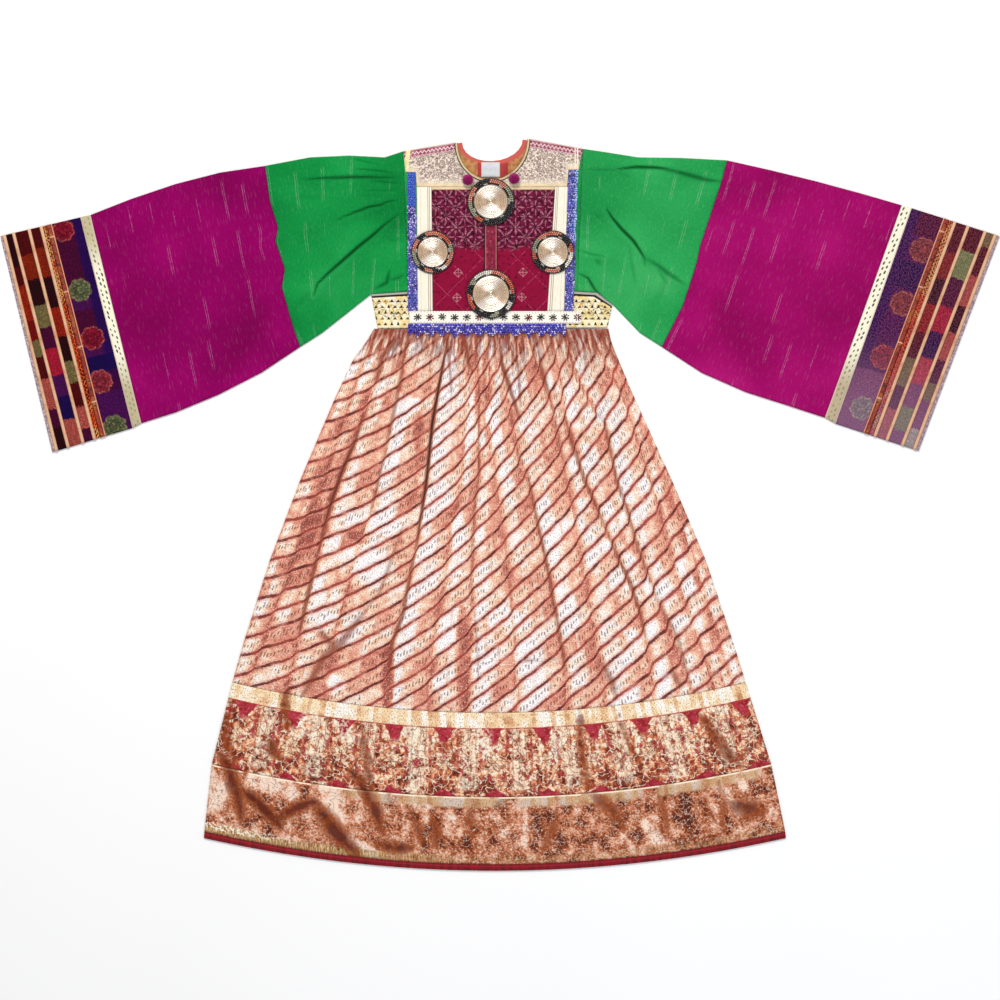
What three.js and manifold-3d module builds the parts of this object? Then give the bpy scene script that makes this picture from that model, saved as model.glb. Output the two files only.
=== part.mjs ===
import * as THREE from "three";
import { mergeVertices } from "three/addons/utils/BufferGeometryUtils.js";
import Module from "manifold-3d";

// A kuchi dress laid flat on its back, in millimetres.
// X runs to the viewer's right, Y towards the neck and Z off the surface, so the front faces +Z.
// The origin is the middle of the outline on the surface.
// Cuff to cuff it is 1650 mm and shoulder to hem 1208 mm, which the tables below add up to.

// Driving dimensions
const CLOTH = 1.2; // one layer of cloth with its facing
const SEAM = 0.3; // gap between neighbouring pieces
const LOFT = 2.4; // rise of the front off the back, away from the edges
const EDGE_ROLL = 26; // width over which the front comes down to the back at an edge
const APPLIQUE = 1.5; // embroidered pieces on the front panel
const CORD = 1.6; // height of pipings and bead rows

// The pleats gathered into the waistband: their height in front and pressed under the dress,
// how far below the seam they are full, and how far down they fade.
const GATHER = {
  count: 28,
  unevenness: 0.28,
  rise: 3.9,
  backRise: 1.6,
  full: 38,
  shortest: 300,
  longest: 560,
};

// A table's rows become objects, with the column names as keys.
function table(columns, rows) {
  return rows.map((row) => Object.fromEntries(columns.map((name, i) => [name, row[i]])));
}

// Sleeve stations from the body to the cuff: the sleeve's upper and lower edge.
const STATION = ["seam", "topX", "topY", "lowX", "lowY"];
const LEFT_SLEEVE = table(STATION, [
  ["armhole", -160, 584, -150, 353],
  ["", -190, 574, -213, 348],
  ["", -248, 577, -256, 314],
  ["", -314, 574, -294, 284],
  ["elbow", -388, 560, -330, 261],
  ["", -462, 549, -393, 219],
  ["", -536, 530, -465, 182],
  ["", -610, 505, -535, 153],
  ["trim", -676, 479, -592, 135],
  ["cuff", -693, 475, -607, 127],
  ["edge", -825, 444, -739, 87],
]);
const RIGHT_SLEEVE = table(STATION, [
  ["armhole", 137, 588, 127, 353],
  ["", 165, 584, 160, 351],
  ["", 228, 574, 187, 330],
  ["", 300, 573, 231, 284],
  ["elbow", 375, 569, 267, 261],
  ["", 446, 553, 333, 218],
  ["", 520, 535, 406, 186],
  ["", 594, 515, 472, 165],
  ["trim", 663, 495, 536, 144],
  ["cuff", 680, 490, 554, 134],
  ["edge", 825, 444, 691, 89],
]);

// The seam between green and magenta isn't straight: its shift in X, by share from top to bottom.
const WAVE = ["share", "shift"];
const LEFT_WAVE = table(WAVE, [
  [0, 0],
  [0.2, -3],
  [0.34, 2],
  [0.42, -7],
  [0.57, 0],
  [0.67, -11],
  [0.9, -5],
  [1, 0],
]);
const RIGHT_WAVE = table(WAVE, [
  [0, 0],
  [0.12, 3],
  [0.46, 5],
  [0.55, 9],
  [0.78, 11],
  [1, 0],
]);

// Lines sewn on the cuff: their place from the cuff seam (0) to the edge (1), and their width.
const CUFF_LINES = table(["name", "top", "low", "width"], [
  ["braid", 0.39, 0.365, 10],
  ["piping_1", 0.49, 0.47, 6],
  ["piping_2", 0.64, 0.615, 6],
  ["piping_3", 0.835, 0.8, 6],
  ["piping_4", 0.95, 0.945, 6],
]);

// Skirt sections from the waist seam to the hem: both side edges, and the fall of the middle.
const SKIRT = table(["seam", "leftX", "rightX", "sideY", "fall"], [
  ["waist", -208, 179, 291, 1],
  ["", -219, 183, 272, 4],
  ["", -243, 196, 239, 10],
  ["", -274, 224, 173, 18],
  ["", -330, 284, 41, 32],
  ["", -380, 340, -91, 42],
  ["", -422, 384, -223, 48],
  ["border", -442, 406, -293, 50],
  ["flounce", -476, 448, -428, 54],
  ["binding", -488, 471, -539, 54],
  ["hem", -489, 472, -550, 54],
]);

// Creases across the cloth, from the photographed front: a path of up to four points,
// the height of the soft ridge along it and its half width.
const CREASE = ["x0", "y0", "x1", "y1", "x2", "y2", "x3", "y3", "rise", "reach"];
const SLEEVE_CREASES = table(CREASE, [
  [-327, 538, -284, 542, -241, 546, -166, 549, 3.6, 9],
  [-257, 474, -221, 487, -195, 496, -166, 505, 3.2, 10],
  [-309, 346, -262, 399, -223, 437, -164, 482, 5.2, 13],
  [-218, 516, -200, 518, -180, 519, -163, 520, 2.6, 8],
  [-190, 368, -182, 376, -170, 381, -156, 384, 2.4, 9],
  [141, 556, 243, 558, 309, 549, 371, 535, 3.4, 10],
  [172, 483, 203, 447, 238, 417, 309, 361, 5.2, 13],
  [221, 399, 226, 385, 230, 372, 234, 360, 2.8, 10],
  [132, 412, 146, 411, 161, 409, 177, 407, 2.4, 9],
]);
const SKIRT_CREASES = table(CREASE, [
  [-91, 277, -113, 110, -140, -69, -160, -195, 5, 13],
  [-223, 172, -261, 54, -297, -61, -328, -178, 4.4, 13],
  [2, 219, 11, 175, 20, 130, 30, 86, 3.4, 12],
  [45, 54, 61, -23, 79, -124, 96, -195, 3.6, 12],
  [73, 183, 111, 117, 139, 25, 150, -20, 3.8, 13],
  [170, -23, 188, -69, 204, -96, 216, -120, 3, 12],
  [-309, -272, -295, -254, -282, -236, -269, -218, 3, 12],
  [-444, -424, -440, -456, -434, -488, -429, -520, 3, 10],
  [-422, -462, -370, -516, -338, -508, -305, -492, 3.4, 11],
  [-294, -500, -269, -525, -243, -550, -218, -574, 3.4, 11],
  [-224, -444, -214, -480, -205, -515, -195, -551, 3, 11],
  [355, -465, 353, -485, 350, -505, 348, -526, 3, 10],
  [404, -459, 393, -480, 382, -502, 371, -523, 3, 10],
  [455, -472, 449, -492, 442, -512, 436, -530, 2.6, 9],
]);

// The neckline is half an ellipse that leans with the shoulders; the back's is shallower.
const NECK = { x: -12.5, y: 601, lean: 0.05, half: 57.5, depth: 64 };
const BACK_NECK = { x: -12.5, y: 601, lean: 0.05, half: 50, depth: 33 };
const NECK_CORD = 5; // width of the corded edge
const NECK_STEPS = 12;
const LEFT_SHOULDER = [-160, 584];
const RIGHT_SHOULDER = [137, 588];

// The yoke's foot: level under the neck, and stepped up over the bead edges at both ends
const YOKE = {
  low: 525,
  left: -137.5,
  right: 111,
  step: 2,
  leftEnd: -156,
  rightEnd: 130,
  endLow: 549,
  endRise: 4,
};

// Sewn pieces on the front panel, left and right edge at their top and at their foot
const STRIP = ["name", "look", "top", "left", "right", "low", "lowLeft", "lowRight", "lift", "wall", "rows"];
const STRIPS = table(STRIP, [
  ["velvet_panel", "velvet", 525, -113, 91, 320, -111, 78, 0, 1.5, 2],
  ["side_band_left", "band", 525, -137.5, -113, 320, -136, -111, 0, 1.5, 2],
  ["side_band_right", "band", 525, 91, 112, 320, 78, 106, 0, 1.5, 2],
  ["bead_edge_left", "beads", 549, -153, -139.5, 320, -152, -136, 0, 1.6, 4],
  ["bead_edge_right", "beads", 553, 113, 129, 320, 106, 121, 0, 1.6, 4],
  ["flower_trim", "flowerTrim", 320, -150, 134, 299, -150, 134, 0.5, 1.5, 2],
  ["bead_fringe", "beads", 299, -152, 109, 285, -152, 109, 0.6, 1.6, 2],
  ["placket", "placket", 520, -26, -4, 352, -26, -4, 1.8, 1.2, 2],
]);

// The waistband's upper edge, which dips at its right end where the sleeve crosses it
const WAIST_TOP = 352;
const WAIST_LOW = 291.5;
const WAISTBAND_TOP = table(["x", "y"], [
  [-213, 348],
  [-150, WAIST_TOP],
  [-60, WAIST_TOP],
  [40, WAIST_TOP],
  [127, WAIST_TOP],
  [160, 350],
  [185.5, 330],
]);
const WAISTBAND_FOOT = { left: -202, right: 177, rightY: 293 };
const PATCH = { left: -31, right: 0, top: 566, low: 541, wall: 1 };

// Medallions: middle, radius of the metal disc, outer radius of its beaded rim, and what it is sewn on
const MEDALLIONS = table(["place", "x", "y", "disc", "rim", "on"], [
  ["top", -15, 500, 28.5, 39.5, "placket"],
  ["left", -111, 417, 25.5, 36, "panel"],
  ["right", 87, 417, 25.5, 36, "panel"],
  ["bottom", -15, 348, 30.5, 41, "placket"],
]);
const POMPOMS = table(["side", "x", "y"], [
  ["left", -53, 536],
  ["right", 23, 538],
]);
// Profiles as shares of the disc's radius or of the rim's width, and heights
const DISC_PROFILE = table(["share", "z"], [
  [0, 0],
  [1, 0],
  [1, 3.4],
  [0.86, 4.2],
  [0.72, 3.2],
  [0.45, 4.6],
  [0, 5.2],
]);
const RIM_PROFILE = table(["share", "z"], [
  [0, 0],
  [0.9, 0],
  [1, 1.6],
  [0.7, 3.6],
  [0.2, 3.4],
  [0, 0],
]);
const POMPOM = { core: 6, reach: 10.5, locks: 28, lockSides: 3, lockWidth: 2.1 };

// Levels of the flat middle of the front panel
const FRONT_LOW = CLOTH + SEAM + LOFT;
const PANEL_LEVEL = FRONT_LOW + CLOTH + SEAM;
const PLACKET_LEVEL = PANEL_LEVEL + APPLIQUE + SEAM;
const MEDALLION_LEVEL = { panel: PLACKET_LEVEL, placket: PLACKET_LEVEL + CLOTH + SEAM };

const mix = (a, b, share) => a + (b - a) * share;
const mixPoint = (p, q, share) => [mix(p[0], q[0], share), mix(p[1], q[1], share)];
const smooth = (share) => {
  const s = Math.min(Math.max(share, 0), 1);
  return s * s * (3 - 2 * s);
};

// A rail runs through its points, the same share of the way between each pair.
function rail(points) {
  return (share) => {
    const place = Math.min(Math.max(share, 0), 1) * (points.length - 1);
    const i = Math.min(Math.floor(place), points.length - 2);
    return mixPoint(points[i], points[i + 1], place - i);
  };
}

// The value of a table's column at a key that lies between two rows.
function lookUp(rows, key, value, at) {
  const way = Math.sign(rows[rows.length - 1][key] - rows[0][key]);
  const last = rows.length - 2;
  const i = rows.findIndex((row, n) => n === last || way * at < way * rows[n + 1][key]);
  const share = (at - rows[i][key]) / (rows[i + 1][key] - rows[i][key]);
  return mix(rows[i][value], rows[i + 1][value], Math.min(Math.max(share, 0), 1));
}

function distanceToPath(x, y, path) {
  let nearest = Infinity;
  for (let i = 0; i + 1 < path.length; i++) {
    const [ax, ay] = path[i];
    const [bx, by] = path[i + 1];
    const length = (bx - ax) ** 2 + (by - ay) ** 2;
    const along = Math.min(Math.max(((x - ax) * (bx - ax) + (y - ay) * (by - ay)) / length, 0), 1);
    nearest = Math.min(nearest, Math.hypot(x - mix(ax, bx, along), y - mix(ay, by, along)));
  }
  return nearest;
}

function neckPoint(neck, turn, grow = 0) {
  const x = neck.x - (neck.half + grow) * Math.cos(turn);
  const y = neck.y + neck.lean * (x - neck.x) - (neck.depth + grow) * Math.sin(turn);
  return [x, y];
}
function neckLine(neck, grow = 0) {
  return Array.from({ length: NECK_STEPS + 1 }, (_, i) => neckPoint(neck, (Math.PI * i) / NECK_STEPS, grow));
}

// The whole outline on the surface, once round
const OUTLINE = [
  ...LEFT_SLEEVE.map((s) => [s.topX, s.topY]),
  ...LEFT_SLEEVE.slice(1).reverse().map((s) => [s.lowX, s.lowY]),
  ...SKIRT.map((s) => [s.leftX, s.sideY]),
  ...Array.from({ length: 9 }, (_, i) => skirtPoint((i + 1) / 10, SKIRT.length - 1)),
  ...SKIRT.slice().reverse().map((s) => [s.rightX, s.sideY]),
  ...RIGHT_SLEEVE.slice(1).map((s) => [s.lowX, s.lowY]),
  ...RIGHT_SLEEVE.slice().reverse().map((s) => [s.topX, s.topY]),
  ...neckLine(BACK_NECK).reverse(),
  [LEFT_SLEEVE[0].topX, LEFT_SLEEVE[0].topY],
];

// 0 at the outline, 1 inside it
function roll(x, y) {
  return 1 - Math.exp(-((distanceToPath(x, y, OUTLINE) / EDGE_ROLL) ** 2));
}

// Soft ridges along the creases
function creaseRise(creases, x, y) {
  return creases.reduce((sum, c) => {
    const path = [[c.x0, c.y0], [c.x1, c.y1], [c.x2, c.y2], [c.x3, c.y3]];
    return sum + c.rise * Math.exp(-((distanceToPath(x, y, path) / c.reach) ** 2));
  }, 0);
}

// Where the waist gathers meet, as shares of the skirt's width. They are uneven.
const GATHER_EDGES = Array.from({ length: GATHER.count + 1 }, (_, i) => {
  const inside = i > 0 && i < GATHER.count;
  return (i + (inside ? GATHER.unevenness * Math.sin(2.4 * i) : 0)) / GATHER.count;
});

// Height of the gathers: none at the seam, full a little below it, then fading at uneven lengths.
function gatherRise(x, y) {
  const left = lookUp(SKIRT, "sideY", "leftX", y);
  const right = lookUp(SKIRT, "sideY", "rightX", y);
  const share = Math.min(Math.max((x - left) / (right - left), 0), 0.9999);
  const i = GATHER_EDGES.findIndex((edge, n) => share < GATHER_EDGES[n + 1]);
  const within = (share - GATHER_EDGES[i]) / (GATHER_EDGES[i + 1] - GATHER_EDGES[i]);
  const below = SKIRT[0].sideY - y;
  const length = mix(GATHER.shortest, GATHER.longest, Math.sin(1.9 * i) ** 2);
  const height = mix(0.55, 1, Math.sin(1.3 * i + 0.6) ** 2);
  const fade = smooth((below - 4) / (GATHER.full - 4)) * (1 - smooth(below / length));
  return height * fade * Math.sin(Math.PI * within) ** 2;
}

// How far a point lies outside the nearer armhole seam, which leans in towards the waist
function pastArmhole(x, y) {
  const [left, right] = [LEFT_SLEEVE[0], RIGHT_SLEEVE[0]];
  const share = (left.topY - y) / (left.topY - left.lowY);
  return Math.max(mix(left.topX, left.lowX, share) - x, x - mix(right.topX, right.lowX, share));
}

function backLow(x, y) {
  return y < WAIST_LOW ? GATHER.backRise * gatherRise(x, y) * roll(x, y) : 0;
}
function frontLow(x, y) {
  const soft = roll(x, y);
  const belowWaist = smooth((WAIST_LOW - y - 8) / 25);
  const folds = belowWaist * creaseRise(SKIRT_CREASES, x, y)
    + (y < WAIST_LOW ? GATHER.rise * gatherRise(x, y) : 0);
  const sleeveFolds = smooth(pastArmhole(x, y) / 14) * creaseRise(SLEEVE_CREASES, x, y);
  return backLow(x, y) + CLOTH + SEAM + soft * (LOFT + folds + sleeveFolds);
}

// Finishes, one per kind of cloth
function finish(color, roughness, metalness = 0) {
  return { color, roughness, metalness };
}
const FINISH = {
  skirt: finish("#d98f68", 0.5, 0.15),
  border: finish("#98202c", 0.55, 0.15),
  flounce: finish("#b87058", 0.55, 0.15),
  binding: finish("#98001a", 0.7),
  waistband: finish("#e9dcae", 0.8),
  lining: finish("#b5785a", 0.8),
  patch: finish("#dfe3e0", 0.8),
  yoke: finish("#b8a898", 0.45, 0.3),
  velvet: finish("#7d0530", 0.9),
  placket: finish("#a01038", 0.8),
  band: finish("#f4efd8", 0.8),
  flowerTrim: finish("#efe8d2", 0.8),
  beads: finish("#4468c8", 0.3),
  cord: finish("#e8d8b0", 0.7),
  metal: finish("#e0c8a8", 0.25, 0.9),
  rim: finish("#3a3230", 0.35),
  pompom: finish("#a80068", 0.9),
  green: finish("#1f9f55", 0.85),
  magenta: finish("#9c0a6e", 0.85),
  cuff: finish("#3a0070", 0.85),
  sleeveTrim: finish("#e8dcb8", 0.8),
  braid: finish("#e08a50", 0.6),
  piping: finish("#f0c8a0", 0.7),
};

const dress = new THREE.Group();

function addMesh(name, geometry, look, place = [0, 0, 0]) {
  geometry.computeVertexNormals();
  const mesh = new THREE.Mesh(geometry, new THREE.MeshStandardMaterial(look));
  mesh.name = name;
  mesh.position.set(...place);
  dress.add(mesh);
}

// Steps from 0 to 1, either a count of equal ones or a list.
function steps(count) {
  return Array.isArray(count) ? count : Array.from({ length: count + 1 }, (_, i) => i / count);
}

// The plan points of a panel, drawn in by half a seam all round.
function planGrid(plan, across, along) {
  const grid = steps(along).map((b) => steps(across).map((a) => plan(a, b)));
  const drawIn = (line, first, next) => {
    const gap = Math.hypot(line[next][0] - line[first][0], line[next][1] - line[first][1]);
    line[first] = mixPoint(line[first], line[next], SEAM / 2 / gap);
  };
  for (const row of grid) {
    drawIn(row, 0, 1);
    drawIn(row, row.length - 1, row.length - 2);
  }
  const inner = [grid[1], grid[grid.length - 2]].map((row) => row.map((p) => [...p]));
  [grid[0], grid[grid.length - 1]].forEach((row, end) =>
    row.forEach((p, i) => {
      const q = inner[end][i];
      row[i] = mixPoint(p, q, SEAM / 2 / Math.hypot(q[0] - p[0], q[1] - p[1]));
    }),
  );
  return grid;
}

// A panel of cloth over a grid in plan. low(x, y) is its underside, and its wall stands on that.
function addPanel(name, look, { plan, across, along, low, wall = CLOTH }) {
  const grid = planGrid(plan, across, along);
  const columns = grid[0].length;
  const count = grid.length * columns;
  const position = [];
  for (const lift of [wall, 0]) {
    for (const [x, y] of grid.flat()) position.push(x, y, low(x, y) + lift);
  }
  const [p, q, r] = [grid[0][0], grid[0][1], grid[1][0]];
  const leftHanded = (q[0] - p[0]) * (r[1] - p[1]) - (q[1] - p[1]) * (r[0] - p[0]) < 0;
  const index = [];
  const quad = (a, b, c, d) => index.push(...(leftHanded ? [a, c, b, a, d, c] : [a, b, c, a, c, d]));
  for (let j = 0; j + 1 < grid.length; j++) {
    for (let i = 0; i + 1 < columns; i++) {
      const a = j * columns + i;
      quad(a, a + 1, a + columns + 1, a + columns);
      quad(count + a + columns, count + a + columns + 1, count + a + 1, count + a);
    }
  }
  const border = [];
  for (let i = 0; i < columns; i++) border.push(i);
  for (let j = 1; j < grid.length; j++) border.push(j * columns + columns - 1);
  for (let i = columns - 2; i >= 0; i--) border.push((grid.length - 1) * columns + i);
  for (let j = grid.length - 2; j > 0; j--) border.push(j * columns);
  border.forEach((a, i) => {
    const b = border[(i + 1) % border.length];
    quad(count + a, count + b, b, a);
  });
  const geometry = new THREE.BufferGeometry();
  geometry.setAttribute("position", new THREE.Float32BufferAttribute(position, 3));
  geometry.setIndex(index);
  addMesh(name, geometry, look);
}

// Sleeves
const SLEEVE_ACROSS = 14;
const SLEEVE_BACK_ACROSS = 6;

function seamIndex(rows, seam) {
  return rows.findIndex((row) => row.seam === seam);
}

function sleevePoint(stations, wave, place, share) {
  const top = rail(stations.map((s) => [s.topX, s.topY]))(place / (stations.length - 1));
  const low = rail(stations.map((s) => [s.lowX, s.lowY]))(place / (stations.length - 1));
  const [x, y] = mixPoint(top, low, share);
  const near = Math.max(0, 1 - Math.abs(place - seamIndex(stations, "elbow")));
  return [x + near * lookUp(wave, "share", "shift", share), y];
}

function addSleeve(side, stations, wave) {
  const cut = (name, look, from, to, along, wall) => {
    const start = seamIndex(stations, from);
    const end = seamIndex(stations, to);
    const plan = (share, way) => sleevePoint(stations, wave, mix(start, end, way), share);
    const back = { plan, across: SLEEVE_BACK_ACROSS, along: end - start, low: backLow };
    addPanel(`${name}_front_${side}`, look, { plan, across: SLEEVE_ACROSS, along, low: frontLow, wall });
    addPanel(`${name}_back_${side}`, look, back);
  };
  cut("sleeve_green", FINISH.green, "armhole", "elbow", 12);
  cut("sleeve_magenta", FINISH.magenta, "elbow", "trim", 8);
  cut("sleeve_trim", FINISH.sleeveTrim, "trim", "cuff", 2, CLOTH + 0.6);
  cut("cuff", FINISH.cuff, "cuff", "edge", 3);

  const seam = seamIndex(stations, "cuff");
  for (const line of CUFF_LINES) {
    const plan = (share, way) => {
      const place = seam + mix(line.top, line.low, share);
      const middle = sleevePoint(stations, wave, place, share);
      const next = sleevePoint(stations, wave, place - 0.1, share);
      const reach = Math.hypot(next[0] - middle[0], next[1] - middle[1]);
      return mixPoint(middle, next, ((way - 0.5) * line.width) / reach);
    };
    addPanel(`cuff_${line.name}_${side}`, line.name === "braid" ? FINISH.braid : FINISH.piping, {
      plan,
      across: SLEEVE_ACROSS,
      along: 1,
      low: (x, y) => frontLow(x, y) + CLOTH + SEAM,
      wall: CORD,
    });
  }
}

// Skirt
function skirtPoint(share, place) {
  const i = Math.min(Math.floor(place), SKIRT.length - 2);
  const at = (key) => mix(SKIRT[i][key], SKIRT[i + 1][key], place - i);
  const x = mix(at("leftX"), at("rightX"), share);
  return [x, at("sideY") - at("fall") * 4 * share * (1 - share)];
}

function addSkirt() {
  const crests = GATHER_EDGES.slice(1).map((edge, i) => (edge + GATHER_EDGES[i]) / 2);
  const columns = [...GATHER_EDGES, ...crests].sort((a, b) => a - b);
  const cut = (name, look, from, to, front, back) => {
    const start = seamIndex(SKIRT, from);
    const end = seamIndex(SKIRT, to);
    const plan = (share, way) => skirtPoint(share, mix(start, end, way));
    addPanel(`${name}_front`, look, { plan, across: front[0], along: front[1], low: frontLow });
    addPanel(`${name}_back`, look, { plan, across: back[0], along: back[1], low: backLow });
  };
  const rows = [0, 0.5, 1, 1.5, 2, 3, 4, 5, 6, 7].map((section) => section / 7);
  cut("skirt", FINISH.skirt, "waist", "border", [columns, rows], [GATHER_EDGES, 7]);
  cut("skirt_border", FINISH.border, "border", "flounce", [32, 3], [14, 2]);
  cut("skirt_flounce", FINISH.flounce, "flounce", "binding", [32, 3], [14, 2]);
  cut("hem_binding", FINISH.binding, "binding", "hem", [32, 1], [14, 1]);
}

// Bodice and waistband
function between(upper, lower) {
  return (share, way) => mixPoint(rail(upper)(share), rail(lower)(share), way);
}

// Points under a top edge, spread evenly at one height.
function evenly(count, left, right) {
  return Array.from({ length: count }, (_, i) => mixPoint(left, right, i / (count - 1)));
}

function bodiceTop(neck, grow = 0) {
  const line = neckLine(neck, grow);
  const left = evenly(4, LEFT_SHOULDER, line[0]).slice(0, 3);
  const right = evenly(4, line[line.length - 1], RIGHT_SHOULDER).slice(1);
  return [...left, ...line, ...right];
}

function addBodice() {
  const front = bodiceTop(NECK);
  const back = bodiceTop(BACK_NECK);
  const lowLeft = [-150, WAIST_TOP];
  const lowRight = [127, WAIST_TOP];
  const across = front.length - 1;
  addPanel("bodice_front", FINISH.lining, {
    plan: between(front, evenly(front.length, lowLeft, lowRight)),
    across,
    along: 4,
    low: frontLow,
  });
  addPanel("bodice_back", FINISH.lining, {
    plan: between(back, evenly(back.length, lowLeft, lowRight)),
    across,
    along: 2,
    low: backLow,
  });
  const bandTop = WAISTBAND_TOP.map(({ x, y }) => [x, y]);
  const footLeft = [WAISTBAND_FOOT.left, WAIST_LOW];
  const bandLow = evenly(bandTop.length, footLeft, [WAISTBAND_FOOT.right, WAISTBAND_FOOT.rightY]);
  for (const [name, low] of [["waistband_front", frontLow], ["waistband_back", backLow]]) {
    addPanel(name, FINISH.waistband, { plan: between(bandTop, bandLow), across: 12, along: 2, low });
  }
  const { left, right, top, low, wall } = PATCH;
  addPanel("neck_patch", FINISH.patch, {
    plan: between([[left, top], [right, top]], [[left, low], [right, low]]),
    across: 1,
    along: 1,
    low: () => CLOTH + SEAM,
    wall,
  });
}

// A piece on the front panel between an upper and a lower rail, lift above the panel's level
function addApplique(name, look, upper, lower, { lift = 0, wall = APPLIQUE, along = 2 } = {}) {
  const across = upper.length - 1;
  const low = (x, y) => frontLow(x, y) + CLOTH + SEAM + lift;
  addPanel(name, look, { plan: between(upper, lower), across, along, low, wall });
}

function addFrontPanel() {
  const { low, left, right, endLow, endRise, leftEnd, rightEnd, step } = YOKE;
  const yokeTop = bodiceTop(NECK, NECK_CORD);
  const yokeBase = [
    [leftEnd, endLow],
    [left - step, endLow],
    ...evenly(yokeTop.length - 4, [left, low], [right, low]),
    [right + step, endLow + endRise],
    [rightEnd, endLow + endRise],
  ];
  addApplique("yoke", FINISH.yoke, yokeTop, yokeBase);
  const cordInner = neckLine(NECK, SEAM);
  const cordOuter = neckLine(NECK, NECK_CORD - SEAM);
  addApplique("neck_binding", FINISH.cord, cordInner, cordOuter, { along: 1, wall: CORD + 0.6 });
  for (const { name, look, top, left, right, low, lowLeft, lowRight, lift, wall, rows } of STRIPS) {
    const upper = evenly(3, [left, top], [right, top]);
    const lower = evenly(3, [lowLeft, low], [lowRight, low]);
    addApplique(name, FINISH[look], upper, lower, { lift, wall, along: rows });
  }
}

// Metal medallions: a domed disc with two raised rings, in a rim of beads
const DISC_STEPS = 20;

function lathe(profile, segments) {
  const geometry = new THREE.LatheGeometry(profile.map(([r, z]) => new THREE.Vector2(r, z)), segments);
  geometry.rotateX(Math.PI / 2);
  return geometry;
}

function addMedallions() {
  for (const { place, x, y, disc, rim, on } of MEDALLIONS) {
    const seat = [x, y, MEDALLION_LEVEL[on]];
    const domed = DISC_PROFILE.map(({ share, z }) => [share * disc, z]);
    addMesh(`medallion_${place}`, lathe(domed, DISC_STEPS), FINISH.metal, seat);
    const inside = disc + SEAM;
    const ring = RIM_PROFILE.map(({ share, z }) => [mix(inside, rim, share), z]);
    addMesh(`medallion_rim_${place}`, lathe(ring, DISC_STEPS), FINISH.rim, seat);
  }
}

// Pompoms: wool locks that stand out of a ball, all above the yoke
const wasm = await Module();
wasm.setup();

function solidOf(geometry) {
  geometry.deleteAttribute("normal");
  geometry.deleteAttribute("uv");
  const merged = mergeVertices(geometry);
  const mesh = new wasm.Mesh({
    numProp: 3,
    vertProperties: merged.attributes.position.array,
    triVerts: merged.index.array,
  });
  return new wasm.Manifold(mesh);
}

function geometryOf(solid) {
  const mesh = solid.getMesh();
  const geometry = new THREE.BufferGeometry();
  geometry.setAttribute("position", new THREE.Float32BufferAttribute(mesh.vertProperties, 3));
  geometry.setIndex([...mesh.triVerts]);
  return geometry;
}

// Directions spread over the upper part of a ball, by the golden angle.
function lockDirection(i) {
  const up = 1 - (1.2 * (i + 0.5)) / POMPOM.locks;
  const turn = i * Math.PI * (3 - Math.sqrt(5));
  const flat = Math.sqrt(1 - up * up);
  return new THREE.Vector3(flat * Math.cos(turn), flat * Math.sin(turn), up);
}

function addPompoms() {
  const { core, reach, locks, lockSides, lockWidth } = POMPOM;
  let wool = solidOf(new THREE.IcosahedronGeometry(core, 1));
  const start = core * 0.5;
  const upwards = new THREE.Vector3(0, 1, 0);
  for (let i = 0; i < locks; i++) {
    const cone = new THREE.ConeGeometry(lockWidth, reach - start, lockSides);
    cone.translate(0, (reach + start) / 2, 0);
    cone.applyQuaternion(new THREE.Quaternion().setFromUnitVectors(upwards, lockDirection(i)));
    wool = wool.add(solidOf(cone));
  }
  for (const { side, x, y } of POMPOMS) {
    addMesh(`pompom_${side}`, geometryOf(wool), FINISH.pompom, [x, y, PLACKET_LEVEL + core]);
  }
}

addSkirt();
addBodice();
addFrontPanel();
addMedallions();
addPompoms();
addSleeve("left", LEFT_SLEEVE, LEFT_WAVE);
addSleeve("right", RIGHT_SLEEVE, RIGHT_WAVE);

export default dress;
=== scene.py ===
import math
from functools import partial, reduce

import bpy
import numpy as np
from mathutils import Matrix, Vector


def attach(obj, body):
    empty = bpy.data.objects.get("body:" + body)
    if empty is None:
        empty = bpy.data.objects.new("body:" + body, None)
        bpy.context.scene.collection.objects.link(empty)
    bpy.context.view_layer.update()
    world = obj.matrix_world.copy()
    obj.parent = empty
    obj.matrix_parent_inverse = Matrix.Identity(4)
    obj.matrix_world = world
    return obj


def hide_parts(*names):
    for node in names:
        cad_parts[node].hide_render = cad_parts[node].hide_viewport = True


# A kuchi dress laid flat on its back and seen from straight above.
# Tables and sizes are in millimetres, as in the construction. Meshes are written in metres.
MM = 0.001
FULL_TURN = 2 * math.pi

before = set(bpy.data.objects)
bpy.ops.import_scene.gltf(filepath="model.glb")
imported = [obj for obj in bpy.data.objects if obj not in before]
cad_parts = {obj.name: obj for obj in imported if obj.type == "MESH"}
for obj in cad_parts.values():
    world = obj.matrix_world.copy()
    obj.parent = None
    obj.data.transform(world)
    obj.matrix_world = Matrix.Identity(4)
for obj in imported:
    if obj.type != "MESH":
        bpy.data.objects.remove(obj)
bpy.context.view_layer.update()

# Cloth and what is sewn on it
CLOTH = 1.2
SEAM = 0.3
LOFT = 2.4
EDGE_ROLL = 26
# Folds on a sleeve fade in over this width from the armhole seam
ARMHOLE_FADE = 14
CORD = 1.6
RIM_THIN = 0.7
GATHERS = 28
UNEVENNESS = 0.28
GATHER_RISE = 3.9
GATHER_BACK_RISE = 1.6
GATHER_FULL = 38
GATHER_SHORTEST = 300
GATHER_LONGEST = 560

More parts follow.
